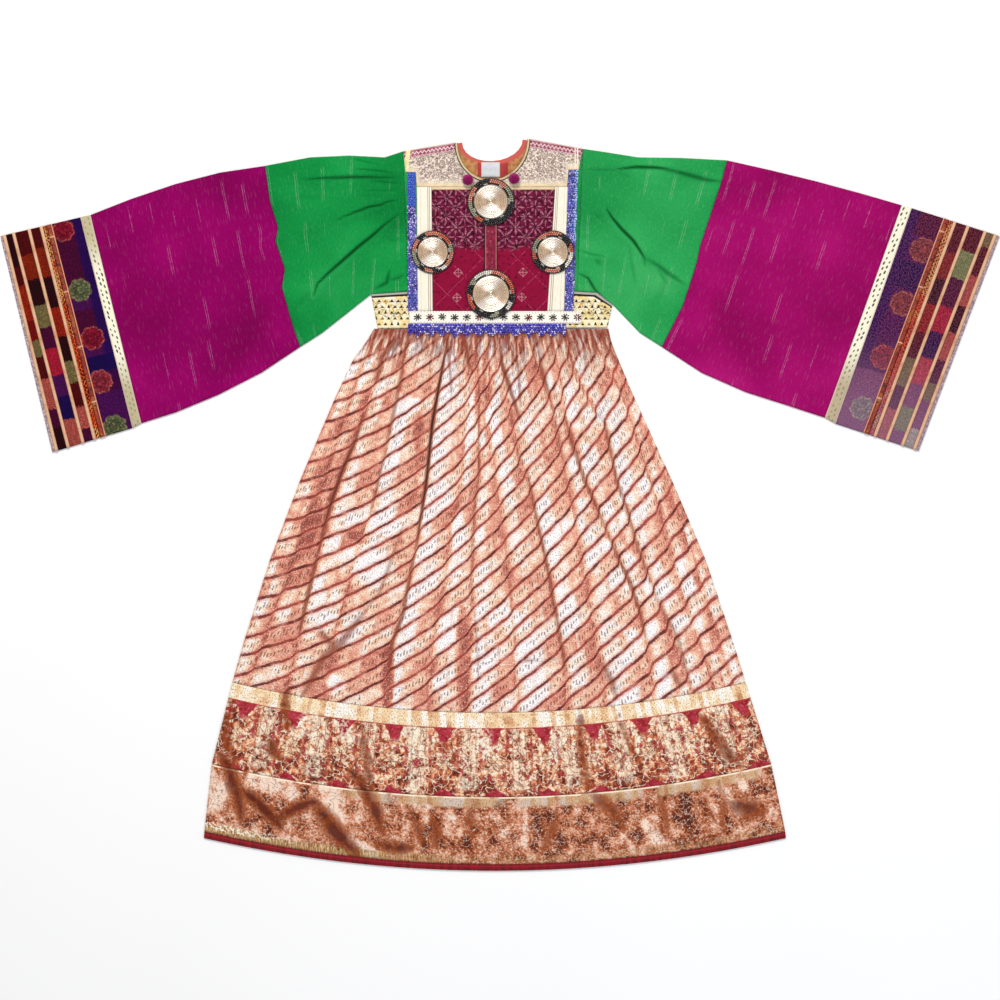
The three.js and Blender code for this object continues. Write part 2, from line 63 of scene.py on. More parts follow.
# Sleeve stations from the armhole to the cuff's edge: upper edge x, y and lower edge x, y
LEFT_SLEEVE = np.array([
    (-160, 584, -150, 353),
    (-190, 574, -213, 348),
    (-248, 577, -256, 314),
    (-314, 574, -294, 284),
    (-388, 560, -330, 261),
    (-462, 549, -393, 219),
    (-536, 530, -465, 182),
    (-610, 505, -535, 153),
    (-676, 479, -592, 135),
    (-693, 475, -607, 127),
    (-825, 444, -739, 87),
], float)
RIGHT_SLEEVE = np.array([
    (137, 588, 127, 353),
    (165, 584, 160, 351),
    (228, 574, 187, 330),
    (300, 573, 231, 284),
    (375, 569, 267, 261),
    (446, 553, 333, 218),
    (520, 535, 406, 186),
    (594, 515, 472, 165),
    (663, 495, 536, 144),
    (680, 490, 554, 134),
    (825, 444, 691, 89),
], float)
ARMHOLE, ELBOW, TRIM, CUFF, EDGE = 0, 4, 8, 9, 10
# The wavy seam at the elbow: share from top to bottom, and shift in x
LEFT_WAVE = np.array([(0, 0), (0.2, -3), (0.34, 2), (0.42, -7), (0.57, 0), (0.67, -11), (0.9, -5), (1, 0)])
RIGHT_WAVE = np.array([(0, 0), (0.12, 3), (0.46, 5), (0.55, 9), (0.78, 11), (1, 0)])
# Lines on the cuff: name, place at the top and at the bottom from the seam to the edge, and width
CUFF_LINES = [
    ("braid", 0.39, 0.365, 10),
    ("piping_1", 0.49, 0.47, 6),
    ("piping_2", 0.64, 0.615, 6),
    ("piping_3", 0.835, 0.8, 6),
    ("piping_4", 0.95, 0.945, 6),
]

# Skirt sections from the waist to the hem: left x, right x, y at the sides, and fall of the middle
SKIRT = np.array([
    (-208, 179, 291, 1),
    (-219, 183, 272, 4),
    (-243, 196, 239, 10),
    (-274, 224, 173, 18),
    (-330, 284, 41, 32),
    (-380, 340, -91, 42),
    (-422, 384, -223, 48),
    (-442, 406, -293, 50),
    (-476, 448, -428, 54),
    (-488, 471, -539, 54),
    (-489, 472, -550, 54),
], float)
WAIST, BORDER, FLOUNCE, BINDING, HEM = 0, 7, 8, 9, 10

# Creases: four points of the path, rise of the ridge (a trough where it is negative) and half width
SLEEVE_CREASES = [
    (-327, 538, -284, 542, -241, 546, -166, 549, 3.6, 9),
    (-257, 474, -221, 487, -195, 496, -166, 505, 3.2, 10),
    (-309, 346, -262, 399, -223, 437, -164, 482, 5.2, 13),
    (-218, 516, -200, 518, -180, 519, -163, 520, 2.6, 8),
    (-190, 368, -182, 376, -170, 381, -156, 384, 2.4, 9),
    (141, 556, 243, 558, 309, 549, 371, 535, 3.4, 10),
    (172, 483, 203, 447, 238, 417, 309, 361, 5.2, 13),
    (221, 399, 226, 385, 230, 372, 234, 360, 2.8, 10),
    (132, 412, 146, 411, 161, 409, 177, 407, 2.4, 9),
]
SKIRT_CREASES = [
    (-91, 277, -113, 110, -140, -69, -160, -195, 5, 13),
    (-223, 172, -261, 54, -297, -61, -328, -178, 4.4, 13),
    (2, 219, 11, 175, 20, 130, 30, 86, 3.4, 12),
    (45, 54, 61, -23, 79, -124, 96, -195, 3.6, 12),
    (73, 183, 111, 117, 139, 25, 150, -20, 3.8, 13),
    (170, -23, 188, -69, 204, -96, 216, -120, 3, 12),
    (-309, -272, -295, -254, -282, -236, -269, -218, 3, 12),
    (-444, -424, -440, -456, -434, -488, -429, -520, 3, 10),
    (-422, -462, -370, -516, -338, -508, -305, -492, 3.4, 11),
    (-294, -500, -269, -525, -243, -550, -218, -574, 3.4, 11),
    (-224, -444, -214, -480, -205, -515, -195, -551, 3, 11),
    (355, -465, 353, -485, 350, -505, 348, -526, 3, 10),
    (404, -459, 393, -480, 382, -502, 371, -523, 3, 10),
    (455, -472, 449, -492, 442, -512, 436, -530, 2.6, 9),
]
# Sharper folds beside those ridges: depth, half width, how dark the fold's painted shade is from 0 to 1, and
# its path
SKIRT_FOLDS = [
    (2.2, 4.5, 1, [(-84, 287), (-97, 216), (-111, 139), (-122, 33), (-130, -16), (-139, -74)]),
    (1.8, 5, 0.7, [(-139, -74), (-153, -139), (-160, -181), (-177, -224), (-186, -290)]),
    (2.2, 5, 0.85, [(-225, 151), (-239, 105), (-261, 55), (-279, 1), (-290, -35), (-300, -81)]),
    (1.8, 5, 0.75, [(-300, -81), (-311, -124), (-322, -171), (-332, -214)]),
    (1, 4, 0.3, [(-290, 40), (-308, 8), (-329, -49), (-365, -156)]),
    (1.4, 4, 0.5, [(-186, 98), (-197, 55), (-204, 26), (-215, -17)]),
    (1.2, 6, 0.4, [(-161, -35), (-197, -142), (-225, -178)]),
    (1.6, 11, 0.6, [(-225, -178), (-261, -226), (-290, -250), (-327, -317)]),
    (1.5, 9, 0.6, [(-300, -206), (-282, -226), (-261, -239)]),
    (1.8, 5, 0.6, [(-57, 284), (-53, 237), (-46, 219)]),
    (1.4, 4, 0.45, [(-86, 259), (-82, 220), (-80, 180)]),
    (1.2, 3.5, 0.4, [(-35, 205), (-35, 61), (-45, -40), (-49, -167)]),
    (2, 5, 0.75, [(0, 277), (3, 234), (18, 187), (33, 141)]),
    (1.4, 4, 0.5, [(26, 250), (31, 216), (34, 162)]),
    (1.8, 4.5, 0.6, [(45, 54), (61, -23), (76, -91), (87, -152), (96, -198), (101, -234), (109, -287)]),
    (1.6, 5, 0.6, [(63, 256), (69, 223), (84, 168)]),
    (1.8, 4.5, 0.6, [(107, 150), (117, 107), (130, 69), (139, 40), (155, 8), (177, -46)]),
    (1.6, 4.5, 0.6, [(177, -46), (195, -89), (215, -127), (231, -178), (243, -228)]),
    (1.5, 4.5, 0.5, [(157, 153), (173, 134), (193, 40), (205, 7), (226, -66), (251, -134)]),
    (1.5, 5, 0.45, [(251, -134), (266, -170), (292, -216), (315, -299)]),
    (1.4, 5, 0.5, [(165, 277), (182, 255), (196, 233)]),
    (1.5, 6, 0.5, [(-157, 249), (-173, 162), (-188, 96)]),
    (1.5, 6, 0.45, [(-191, 256), (-205, 200)]),
    (1, 3.5, 0.4, [(-42, -173), (-38, -230), (-35, -291)]),
    (1.2, 3.5, 0.6, [(41, -257), (70, -259), (101, -255)]),
    (1.5, 9, 0.55, [(169, -262), (184, -291), (191, -316)]),
    (1.5, 9, 0.5, [(284, -272), (292, -290), (300, -300)]),
    (1.5, 10, 0.6, [(130, -334), (134, -377), (134, -412), (148, -467)]),
    (1.3, 7, 0.4, [(194, -341), (205, -377), (223, -413), (237, -441)]),
    (1.8, 13, 0.75, [(330, -348), (352, -377), (377, -413), (398, -431)]),
    (1.5, 9, 0.7, [(-348, -301), (-355, -331), (-351, -371)]),
    (1.6, 9, 0.6, [(-453, -340), (-449, -403), (-433, -426)]),
    (1.6, 11, 0.75, [(-381, -386), (-375, -409), (-358, -422)]),
    (1.5, 11, 0.55, [(-228, -363), (-224, -403), (-218, -438), (-211, -477)]),
    (2, 14, 1, [(-462, -409), (-446, -438), (-433, -478), (-426, -520)]),
    (2, 14, 1, [(-427, -471), (-404, -487), (-381, -510), (-361, -533)]),
    (1.8, 12, 1, [(-371, -517), (-342, -503), (-312, -490), (-296, -495)]),
    (1.9, 20, 0.94, [(-305, -495), (-283, -523), (-264, -549), (-234, -579)]),
    (1.9, 14, 0.94, [(-250, -438), (-234, -451), (-218, -477), (-205, -507), (-192, -543)]),
    (1.6, 12, 0.83, [(-205, -559), (-172, -566), (-143, -566)]),
    (1.4, 10, 0.61, [(-149, -503), (-134, -536), (-124, -569)]),
    (1.4, 12, 0.66, [(-111, -510), (-106, -540), (-104, -566)]),
    (1.3, 10, 0.5, [(-51, -503), (-48, -530), (-45, -549)]),
    (1.4, 12, 0.44, [(94, -502), (87, -538), (69, -574)]),
    (1.5, 14, 0.66, [(148, -477), (184, -502), (205, -538)]),
    (1.6, 21, 0.77, [(380, -492), (404, -502), (437, -506)]),
    (1.3, 10, 0.5, [(360, -455), (372, -490), (366, -530)]),
    (1.3, 10, 0.44, [(262, -468), (268, -500), (276, -540)]),
]
SLEEVE_FOLDS = [
    (2.0, 5, 0.8, [(-330, 537), (-300, 539), (-245, 541), (-211, 541), (-172, 540)]),
    (1.4, 3, 0.55, [(-250, 573), (-221, 567), (-199, 562)]),
    (1.5, 3.5, 0.7, [(-240, 555), (-201, 552), (-172, 547)]),
    (1.5, 3.5, 0.65, [(-216, 534), (-187, 533), (-163, 530)]),
    (1.4, 3.5, 0.55, [(-226, 518), (-199, 519), (-167, 519)]),
    (1.9, 4.5, 0.85, [(-268, 471), (-245, 481), (-216, 492), (-197, 495), (-187, 500), (-167, 503)]),
    (2.2, 5, 0.95, [(-308, 344), (-301, 365), (-284, 382), (-260, 403), (-235, 425), (-211, 444), (-192, 461),
                    (-165, 481)]),
    (1.6, 5, 0.75, [(-206, 357), (-187, 367), (-182, 389)]),
    (1.5, 4, 0.6, [(-184, 372), (-170, 373), (-158, 380)]),
    (1.0, 4, 0.35, [(-192, 440), (-172, 436), (-160, 437)]),
    (1.0, 6, 0.3, [(-345, 506), (-318, 508), (-290, 507)]),
    (1.2, 8, 0.35, [(-344, 323), (-330, 335), (-315, 350)]),
    (1.8, 4, 0.6, [(139, 554), (182, 553), (200, 556)]),
    (2.2, 5, 1.0, [(190, 554), (225, 558), (256, 557), (288, 553)]),
    (1.8, 8, 0.75, [(262, 556), (288, 551), (314, 544), (339, 537), (366, 533)]),
    (1.2, 3.5, 0.45, [(182, 552), (200, 548), (218, 539)]),
    (2.2, 5, 1.0, [(175, 490), (185, 474), (200, 456), (220, 436), (230, 421), (240, 405)]),
    (1.6, 7, 0.65, [(240, 407), (261, 395), (276, 383), (306, 363)]),
    (1.2, 4, 0.55, [(233, 416), (238, 405), (240, 392)]),
    (1.1, 5, 0.4, [(213, 428), (218, 396), (223, 363)]),
    (1.2, 4, 0.45, [(261, 390), (266, 380), (276, 363)]),
    (1.2, 4, 0.5, [(153, 486), (159, 478), (165, 469)]),
    (1.5, 4, 0.55, [(130, 421), (150, 414), (177, 409)]),
    (1.4, 8, 0.5, [(156, 406), (162, 401), (166, 396)]),
    (1.6, 4.5, 0.8, [(128, 383), (145, 375), (157, 355), (170, 343)]),
    (1.0, 4, 0.35, [(130, 442), (138, 442), (148, 440)]),
    (1.0, 12, 0.3, [(252, 330), (266, 350), (276, 372)]),
]
# Painted highlights where the brocade catches the light (above 0), and painted salmon shade (below 0): half
# width, amount and path
SKIRT_GLOWS = [
    (11, 0.6, [(-168, 180), (-168, 126), (-182, 73), (-197, 33)]),
    (8, 0.45, [(-136, 173), (-153, 155)]),
    (10, -0.35, [(-136, 150), (-132, 105), (-132, 55)]),
    (8, 0.2, [(-50, 205), (-50, 127), (-53, 73)]),
    (8, 0.5, [(-21, 160), (-3, 108)]),
    (34, 0.35, [(-262, -90), (-230, -100), (-175, -125)]),
    (20, 0.4, [(-290, -188), (-284, -200)]),
    (8, -0.45, [(-250, -45), (-222, -58)]),
    (14, -0.35, [(-296, 50), (-312, -30), (-330, -90)]),
    (18, 0.35, [(18, -178), (24, -210)]),
    (12, 0.4, [(-68, -20), (-66, -66)]),
    (11, -0.5, [(-63, -170), (-61, -240), (-60, -341)]),
    (11, -0.4, [(-185, -230), (-185, -331)]),
    (4, 0.6, [(-169, -240), (-172, -346)]),
    (16, 0.5, [(-283, -289), (-262, -296)]),
    (8, 0.5, [(140, 96), (150, 84)]),
    (6, 0.5, [(160, 152), (170, 138)]),
    (5, 0.5, [(117, 78), (123, 52)]),
    (8, 0.5, [(132, 8), (144, -8)]),
    (9, 0.5, [(204, 20), (214, 6)]),
    (9, 0.5, [(212, -84), (224, -102)]),
    (10, 0.4, [(170, -60), (184, -78)]),
    (12, 0.4, [(208, -204), (224, -222)]),
    (18, 0.3, [(290, -186), (318, -200)]),
    (14, 0.3, [(262, -136), (284, -150)]),
    (22, -0.2, [(-250, 100), (-290, 0), (-350, -160), (-400, -270)]),
]

# The same on the border and the flounce
LOWER_GLOWS = [
    (17, 0.7, [(-412, -452), (-375, -462), (-334, -474)]),
    (14, 0.6, [(-300, -458), (-275, -485), (-256, -520)]),
    (9, 0.6, [(-256, -546), (-222, -568), (-196, -586)]),
    (8, 0.45, [(-362, -545), (-320, -560)]),
    (15, 0.5, [(-476, -440), (-462, -515)]),
    (12, 0.45, [(-150, -455), (-120, -520)]),
    (11, 0.4, [(-84, -505), (-70, -560)]),
    (9, 0.4, [(30, -480), (44, -560)]),
    (10, 0.5, [(236, -520), (262, -560)]),
    (9, 0.6, [(350, -452), (372, -478), (398, -512)]),
    (7, 0.6, [(384, -446), (408, -470)]),
    (9, -0.4, [(300, -470), (312, -540)]),
    (20, -0.35, [(-380, -330), (-330, -400)]),
    (14, 0.6, [(-300, -330), (-330, -370), (-345, -395)]),
    (12, 0.6, [(-262, -350), (-250, -395)]),
    (16, 0.5, [(-150, -345), (-140, -410)]),
    (16, 0.5, [(-30, -350), (-24, -410)]),
    (14, 0.4, [(92, -350), (96, -410)]),
    (22, -0.4, [(-455, -310), (-462, -400)]),
    (18, -0.3, [(398, -320), (412, -400)]),
]

# Neckline: half an ellipse that leans with the shoulders. The back's is shallower.
NECK = {"x": -12.5, "y": 601, "lean": 0.05, "half": 57.5, "depth": 64}
BACK_NECK = {"x": -12.5, "y": 601, "lean": 0.05, "half": 50, "depth": 33}
NECK_CORD = 5
NECK_CORD_LENGTH = 210
NECK_STEPS = 12
LEFT_SHOULDER = (-160, 584)
RIGHT_SHOULDER = (137, 588)
# The yoke's shoulder line: x, and y there
SHOULDER_LINE = [-160, -70, 45, 137], [584, 598, 604, 588]

# The blank patch: its upper and its lower edge
NECK_PATCH = [(-31, 566), (0, 566)], [(-31, 541), (0, 541)]
PATCH_CLOTH = 1.0

WAIST_TOP = 352
WAIST_LOW = 291.5
WAISTBAND_TOP = [(-213, 348), (-150, 352), (-60, 352), (40, 352), (127, 352), (160, 350), (185.5, 330)]
WAISTBAND_FOOT = [(-202, 291.5), (177, 293)]

# Sewn pieces: top y, left and right x there, foot y, left and right x there, lift over the panel
STRIPS = {
    "velvet_panel": (525, -113, 91, 320, -111, 78, 0),
    "side_band_left": (525, -137.5, -113, 320, -136, -111, 0),
    "side_band_right": (525, 91, 112, 320, 78, 106, 0),
    "bead_edge_left": (549, -153, -139.5, 320, -152, -136, 0),
    "bead_edge_right": (553, 113, 129, 320, 106, 121, 0),
    "flower_trim": (320, -150, 134, 299, -150, 134, 0.5),
    "bead_fringe": (299, -152, 109, 285, -152, 109, 0.6),
    "placket": (520, -26, -4, 352, -26, -4, 1.8),
}
SIDE_BAND = 25
APPLIQUE = 1.5
# Medallions: middle, radius of the disc, outer radius of the rim, and whether it sits on the placket
MEDALLIONS = {
    "top": (-15, 500, 28.5, 39.5, True),
    "left": (-111, 417, 25.5, 36, False),
    "right": (87, 417, 25.5, 36, False),
    "bottom": (-15, 348, 30.5, 41, True),
}
POMPOMS = {"left": (-53, 536), "right": (23, 538)}
POMPOM_CORE = 6
# How far the wool stands out, as in the construction
POMPOM_REACH = 10.5
POMPOM_LOCKS = 520

FRONT_LOW = CLOTH + SEAM + LOFT
PANEL_LEVEL = FRONT_LOW + CLOTH + SEAM
PLACKET_LEVEL = PANEL_LEVEL + APPLIQUE + SEAM


# Shapes in plan

def mix(a, b, share):
    return a + (b - a) * share


def smooth(share):
    s = np.clip(share, 0, 1)
    return s * s * (3 - 2 * s)


def rail(points, share):
    """x and y along a rail, the same share of the way between each pair of its points."""
    corners = np.array(points, float)
    place = np.clip(share, 0, 1) * (len(corners) - 1)
    number = np.arange(len(corners))
    return np.interp(place, number, corners[:, 0]), np.interp(place, number, corners[:, 1])


def between(upper, lower):
    """The plan of a panel between an upper and a lower rail."""
    def plan(across, along):
        upper_x, upper_y = rail(upper, across)
        lower_x, lower_y = rail(lower, across)
        return mix(upper_x, lower_x, along), mix(upper_y, lower_y, along)
    return plan


def evenly(count, first, last):
    return [tuple(mix(np.array(first, float), np.array(last, float), i / (count - 1))) for i in range(count)]


def from_stretch(x, y, start, end):
    """Distance from a straight stretch, and how far along it the nearest point is, from 0 to 1."""
    (ax, ay), (bx, by) = start, end
    squared = (bx - ax) ** 2 + (by - ay) ** 2
    along = np.clip(((x - ax) * (bx - ax) + (y - ay) * (by - ay)) / squared, 0, 1)
    return np.hypot(x - mix(ax, bx, along), y - mix(ay, by, along)), along


def distance_to_path(x, y, path):
    nearest = np.full(np.shape(x), np.inf)
    for start, end in zip(path, path[1:]):
        nearest = np.minimum(nearest, from_stretch(x, y, start, end)[0])
    return nearest


def neck_line(neck, grow=0.0, count=NECK_STEPS + 1):
    turn = np.linspace(0, math.pi, count)
    x = neck["x"] - (neck["half"] + grow) * np.cos(turn)
    y = neck["y"] + neck["lean"] * (x - neck["x"]) - (neck["depth"] + grow) * np.sin(turn)
    return list(zip(x, y))


def sleeve_point(stations, wave, place, share):
    number = np.arange(len(stations))
    top_x, top_y, low_x, low_y = (np.interp(place, number, stations[:, i]) for i in range(4))
    near = np.maximum(0, 1 - np.abs(place - ELBOW))
    shift = near * np.interp(share, wave[:, 0], wave[:, 1])
    return mix(top_x, low_x, share) + shift, mix(top_y, low_y, share)


def skirt_point(share, place):
    number = np.arange(len(SKIRT))
    left, right, side, fall = (np.interp(place, number, SKIRT[:, i]) for i in range(4))
    return mix(left, right, share), side - fall * 4 * share * (1 - share)


def outline():
    """The dress's outline on the surface, once round."""
    share = np.arange(1, 10) / 10
    hem_x, hem_y = skirt_point(share, HEM)
    return [
        *[(s[0], s[1]) for s in LEFT_SLEEVE],
        *[(s[2], s[3]) for s in LEFT_SLEEVE[:0:-1]],
        *[(s[0], s[2]) for s in SKIRT],
        *zip(hem_x, hem_y),
        *[(s[1], s[2]) for s in SKIRT[::-1]],
        *[(s[2], s[3]) for s in RIGHT_SLEEVE[1:]],
        *[(s[0], s[1]) for s in RIGHT_SLEEVE[::-1]],
        *neck_line(BACK_NECK)[::-1],
        tuple(LEFT_SLEEVE[0, :2]),
    ]


OUTLINE = outline()


# Heights of the cloth

def roll(x, y):
    """0 at the outline and 1 inside it."""
    return 1 - np.exp(-((distance_to_path(x, y, OUTLINE) / EDGE_ROLL) ** 2))


def path_field(x, y, path):
    """Distance from a path, and how far along it the nearest point is, from 0 to 1."""
    lengths = [math.dist(a, b) for a, b in zip(path, path[1:])]
    nearest = np.full(np.shape(x), np.inf)
    share = np.zeros(np.shape(x))
    done = 0.0
    for start, end, length in zip(path, path[1:], lengths):
        away, along = from_stretch(x, y, start, end)
        share = np.where(away < nearest, (done + along * length) / sum(lengths), share)
        nearest = np.minimum(nearest, away)
        done += length
    return nearest, share


def crease_rise(creases, x, y):
    total = np.zeros(np.shape(x))
    for row in creases:
        path = [row[0:2], row[2:4], row[4:6], row[6:8]]
        total += row[8] * np.exp(-((distance_to_path(x, y, path) / row[9]) ** 2))
    return total


def tapered(x, y, half, path):
    """1 along the path, fading over its half width and towards both of its ends."""
    away, share = path_field(x, y, path)
    thin = 0.4 + 0.6 * np.sqrt(np.maximum(np.sin(math.pi * share), 0))
    return np.exp(-((away / (half * thin)) ** 2)) * (0.35 + 0.65 * thin)


def glow_at(glows, x, y):
    """Painted light at a point: how much brighter than the cloth around it the point looks, and painted shade
    where that is below 0. Each glow has clear edges.
    """
    total = np.zeros(np.shape(x))
    for half, amount, path in glows:
        away, share = path_field(x, y, path)
        thin = 0.5 + 0.5 * np.sqrt(np.maximum(np.sin(math.pi * share), 0))
        total += amount * np.exp(-((away / (half * thin)) ** 4)) * (0.3 + 0.7 * thin)
    return total


def fold_depth(folds, x, y):
    total = np.zeros(np.shape(x))
    for depth, half, _, path in folds:
        total += depth * tapered(x, y, half, path)
    return total


def fold_darkness(folds, x, y):
    """How deep in painted shade a point lies in a fold, from 0 to 1."""
    total = np.zeros(np.shape(x))
    for _, half, dark, path in folds:
        total = np.maximum(total, dark * tapered(x, y, 0.75 * half, path))
    return total


def gather_edges():
    number = np.arange(GATHERS + 1)
    inner = (number > 0) & (number < GATHERS)
    return (number + np.where(inner, UNEVENNESS * np.sin(2.4 * number), 0)) / GATHERS


GATHER_EDGES = gather_edges()


def skirt_sides(y):
    """The skirt's left and right edge at a height."""
    return [np.interp(-y, -SKIRT[:, 2], SKIRT[:, side]) for side in (0, 1)]


def skirt_share(x, y):
    left, right = skirt_sides(y)
    return np.clip((x - left) / (right - left), 0, 0.9999)


def gather_rise(x, y):
    share = skirt_share(x, y)
    i = np.clip(np.searchsorted(GATHER_EDGES, share, side="right") - 1, 0, GATHERS - 1)
    within = (share - GATHER_EDGES[i]) / (GATHER_EDGES[i + 1] - GATHER_EDGES[i])
    below = SKIRT[0, 2] - y
    length = mix(GATHER_SHORTEST, GATHER_LONGEST, np.sin(1.9 * i) ** 2)
    height = mix(0.55, 1, np.sin(1.3 * i + 0.6) ** 2)
    fade = smooth((below - 4) / (GATHER_FULL - 4)) * (1 - smooth(below / length))
    return height * fade * np.sin(math.pi * within) ** 2


def past_armhole(x, y):
    left, right = LEFT_SLEEVE[0], RIGHT_SLEEVE[0]
    share = (left[1] - y) / (left[1] - left[3])
    return np.maximum(mix(left[0], left[2], share) - x, x - mix(right[0], right[2], share))


def back_low(x, y):
    return np.where(y < WAIST_LOW, GATHER_BACK_RISE * gather_rise(x, y) * roll(x, y), 0)


def front_low(x, y):
    """Underside of the front, as in the construction."""
    below_waist = smooth((WAIST_LOW - y - 8) / 25)
    folds = below_waist * crease_rise(SKIRT_CREASES, x, y)
    folds = folds + np.where(y < WAIST_LOW, GATHER_RISE * gather_rise(x, y), 0)
    sleeve_folds = smooth(past_armhole(x, y) / ARMHOLE_FADE) * crease_rise(SLEEVE_CREASES, x, y)
    return back_low(x, y) + CLOTH + SEAM + roll(x, y) * (LOFT + folds + sleeve_folds)


# Pleats that show from the waist to the border: cloth hidden in them at the waist and at the border,
# half width of the turn, and path
PLEATS = [
    (4, 9, 4, [(-205, 287), (-240, 190), (-262, 130), (-290, 40), (-318, -17),
               (-336, -81), (-365, -156), (-420, -300)]),
    (14, 10, 5, [(-175, 287), (-200, 223), (-225, 151), (-261, 55), (-279, 1),
                 (-300, -81), (-332, -214), (-352, -300)]),
    (10, 6, 4, [(-150, 287), (-165, 200), (-186, 98), (-204, 26), (-215, -17),
                (-240, -90), (-262, -170), (-290, -300)]),
    (40, 16, 4, [(-84, 287), (-97, 216), (-111, 139), (-122, 33), (-139, -74),
                 (-153, -139), (-177, -224), (-190, -300)]),
    (18, 11, 8, [(-58, 287), (-54, 241), (-50, 180), (-60, 80), (-72, 0),
                 (-85, -80), (-100, -160), (-118, -300)]),
    (16, 10, 6, [(-38, 287), (-36, 190), (-36, 61), (-45, -40), (-49, -167), (-52, -300)]),
    (15, 8, 8, [(-20, 287), (-18, 200), (-14, 100), (0, 0), (10, -100), (20, -200), (28, -300)]),
    (18, 10, 6, [(-7, 287), (0, 231), (13, 173), (28, 81), (50, 20),
                 (61, -23), (76, -91), (96, -198), (109, -287)]),
    (16, 9, 7, [(40, 287), (63, 230), (84, 168), (100, 90), (112, 30), (125, -40), (140, -120), (170, -300)]),
    (18, 15, 5, [(85, 287), (98, 210), (107, 150), (130, 69), (155, 8),
                 (177, -46), (195, -89), (231, -178), (255, -300)]),
    (20, 15, 5, [(105, 287), (120, 223), (157, 153), (173, 134), (193, 40),
                 (205, 7), (226, -66), (251, -134), (315, -299)]),
    (16, 9, 7, [(140, 287), (165, 250), (196, 190), (215, 140), (240, 60),
                (262, -10), (285, -90), (310, -170), (350, -300)]),
    (10, 6, 8, [(168, 287), (205, 215), (235, 140), (270, 50), (300, -30),
                (330, -120), (352, -190), (385, -300)]),
]
PLEAT_RISE = 1.5


def pleat_x(y):
    """Where each pleat lies at a height, with the skirt's two edges before and after them."""
    inner = [np.interp(-y, [-p[1] for p in path], [p[0] for p in path]) for *_, path in PLEATS]
    left, right = skirt_sides(y)
    return np.stack([np.minimum(left, inner[0] - 4), *inner, np.maximum(right, inner[-1] + 4)])


def pleat_place(x, y):
    """Number of the pleats to the left of a point, and its share of the way to the next."""
    lines = pleat_x(y)
    i = np.clip((lines <= x).sum(0) - 1, 0, len(lines) - 2)
    before = np.take_along_axis(lines, i[None], 0)[0]
    after = np.take_along_axis(lines, i[None] + 1, 0)[0]
    return i, np.clip((x - before) / (after - before), 0, 0.999)


def skirt_drape(x, y):
    """Each stretch of cloth between two pleats swells softly, more at its left."""
    _, share = pleat_place(x, y)
    swell = np.sin(math.pi * share ** 0.7) - 0.5
    below = SKIRT[0, 2] - y
    return PLEAT_RISE * swell * smooth((below - 20) / 60) * (1 - 0.6 * smooth((below - 600) / 60))


def fine_front(x, y):
    """What the visible cloth adds to the construction's front: sharp folds and the skirt's fall."""
    skirt = smooth((WAIST_LOW - y - 6) / 30) * (skirt_drape(x, y) - fold_depth(SKIRT_FOLDS, x, y))
    sleeve = smooth(past_armhole(x, y) / ARMHOLE_FADE) * -fold_depth(SLEEVE_FOLDS, x, y)
    return np.maximum(roll(x, y) * (skirt + sleeve), -roll(x, y) * (LOFT - 0.3))


def visible_low(x, y):
    return front_low(x, y) + fine_front(x, y)


# Meshes

def new_object(name, points, faces, material, attributes):
    mesh = bpy.data.meshes.new(name)
    mesh.from_pydata((np.asarray(points, float) * MM).tolist(), [], [list(map(int, f)) for f in faces])
    mesh.polygons.foreach_set("use_smooth", np.ones(len(mesh.polygons), bool))
    for key, values in attributes.items():
        kind, field = ("FLOAT", "value") if values.ndim == 1 else ("FLOAT_VECTOR", "vector")
        layer = mesh.attributes.new(key, kind, "POINT")
        layer.data.foreach_set(field, values.astype(np.float32).ravel())
    mesh.materials.append(material)
    mesh.update()
    made = bpy.data.objects.new(name, mesh)
    bpy.context.scene.collection.objects.link(made)
    return made


def draw_in(x, y):
    """Draws a panel's plan in by half a seam all round."""
    for lines_x, lines_y in ((x.T, y.T), (x, y)):
        for first, after in ((0, 1), (-1, -2)):
            gap = np.hypot(lines_x[after] - lines_x[first], lines_y[after] - lines_y[first])
            share = SEAM / 2 / np.maximum(gap, 1e-6)
            lines_x[first] = mix(lines_x[first], lines_x[after], share)
            lines_y[first] = mix(lines_y[first], lines_y[after], share)
    return x, y


def grid(across, along):
    return np.meshgrid(np.linspace(0, 1, across + 1), np.linspace(0, 1, along + 1))


def two_sides(x, y, top, under):
    """Points of a closed sheet: its upper side, then its underside."""
    return np.concatenate([np.stack([x, y, height], -1).reshape(-1, 3) for height in (top, under)])


def shell_faces(rows, columns, flip):
    """Quads of a closed shell: its top, its underside and the rim between them."""
    number = np.arange(rows * columns).reshape(rows, columns)
    under = number + rows * columns
    top = np.stack([number[:-1, :-1], number[:-1, 1:], number[1:, 1:], number[1:, :-1]], -1).reshape(-1, 4)
    low = np.stack([under[:-1, :-1], under[1:, :-1], under[1:, 1:], under[:-1, 1:]], -1).reshape(-1, 4)
    loop = np.concatenate([number[0], number[1:, -1], number[-1, -2::-1], number[-2:0:-1, 0]])
    after = np.roll(loop, -1)
    rim = np.stack([loop, loop + rows * columns, after + rows * columns, after], -1)
    faces = np.concatenate([top, low, rim])
    return faces[:, ::-1] if flip else faces


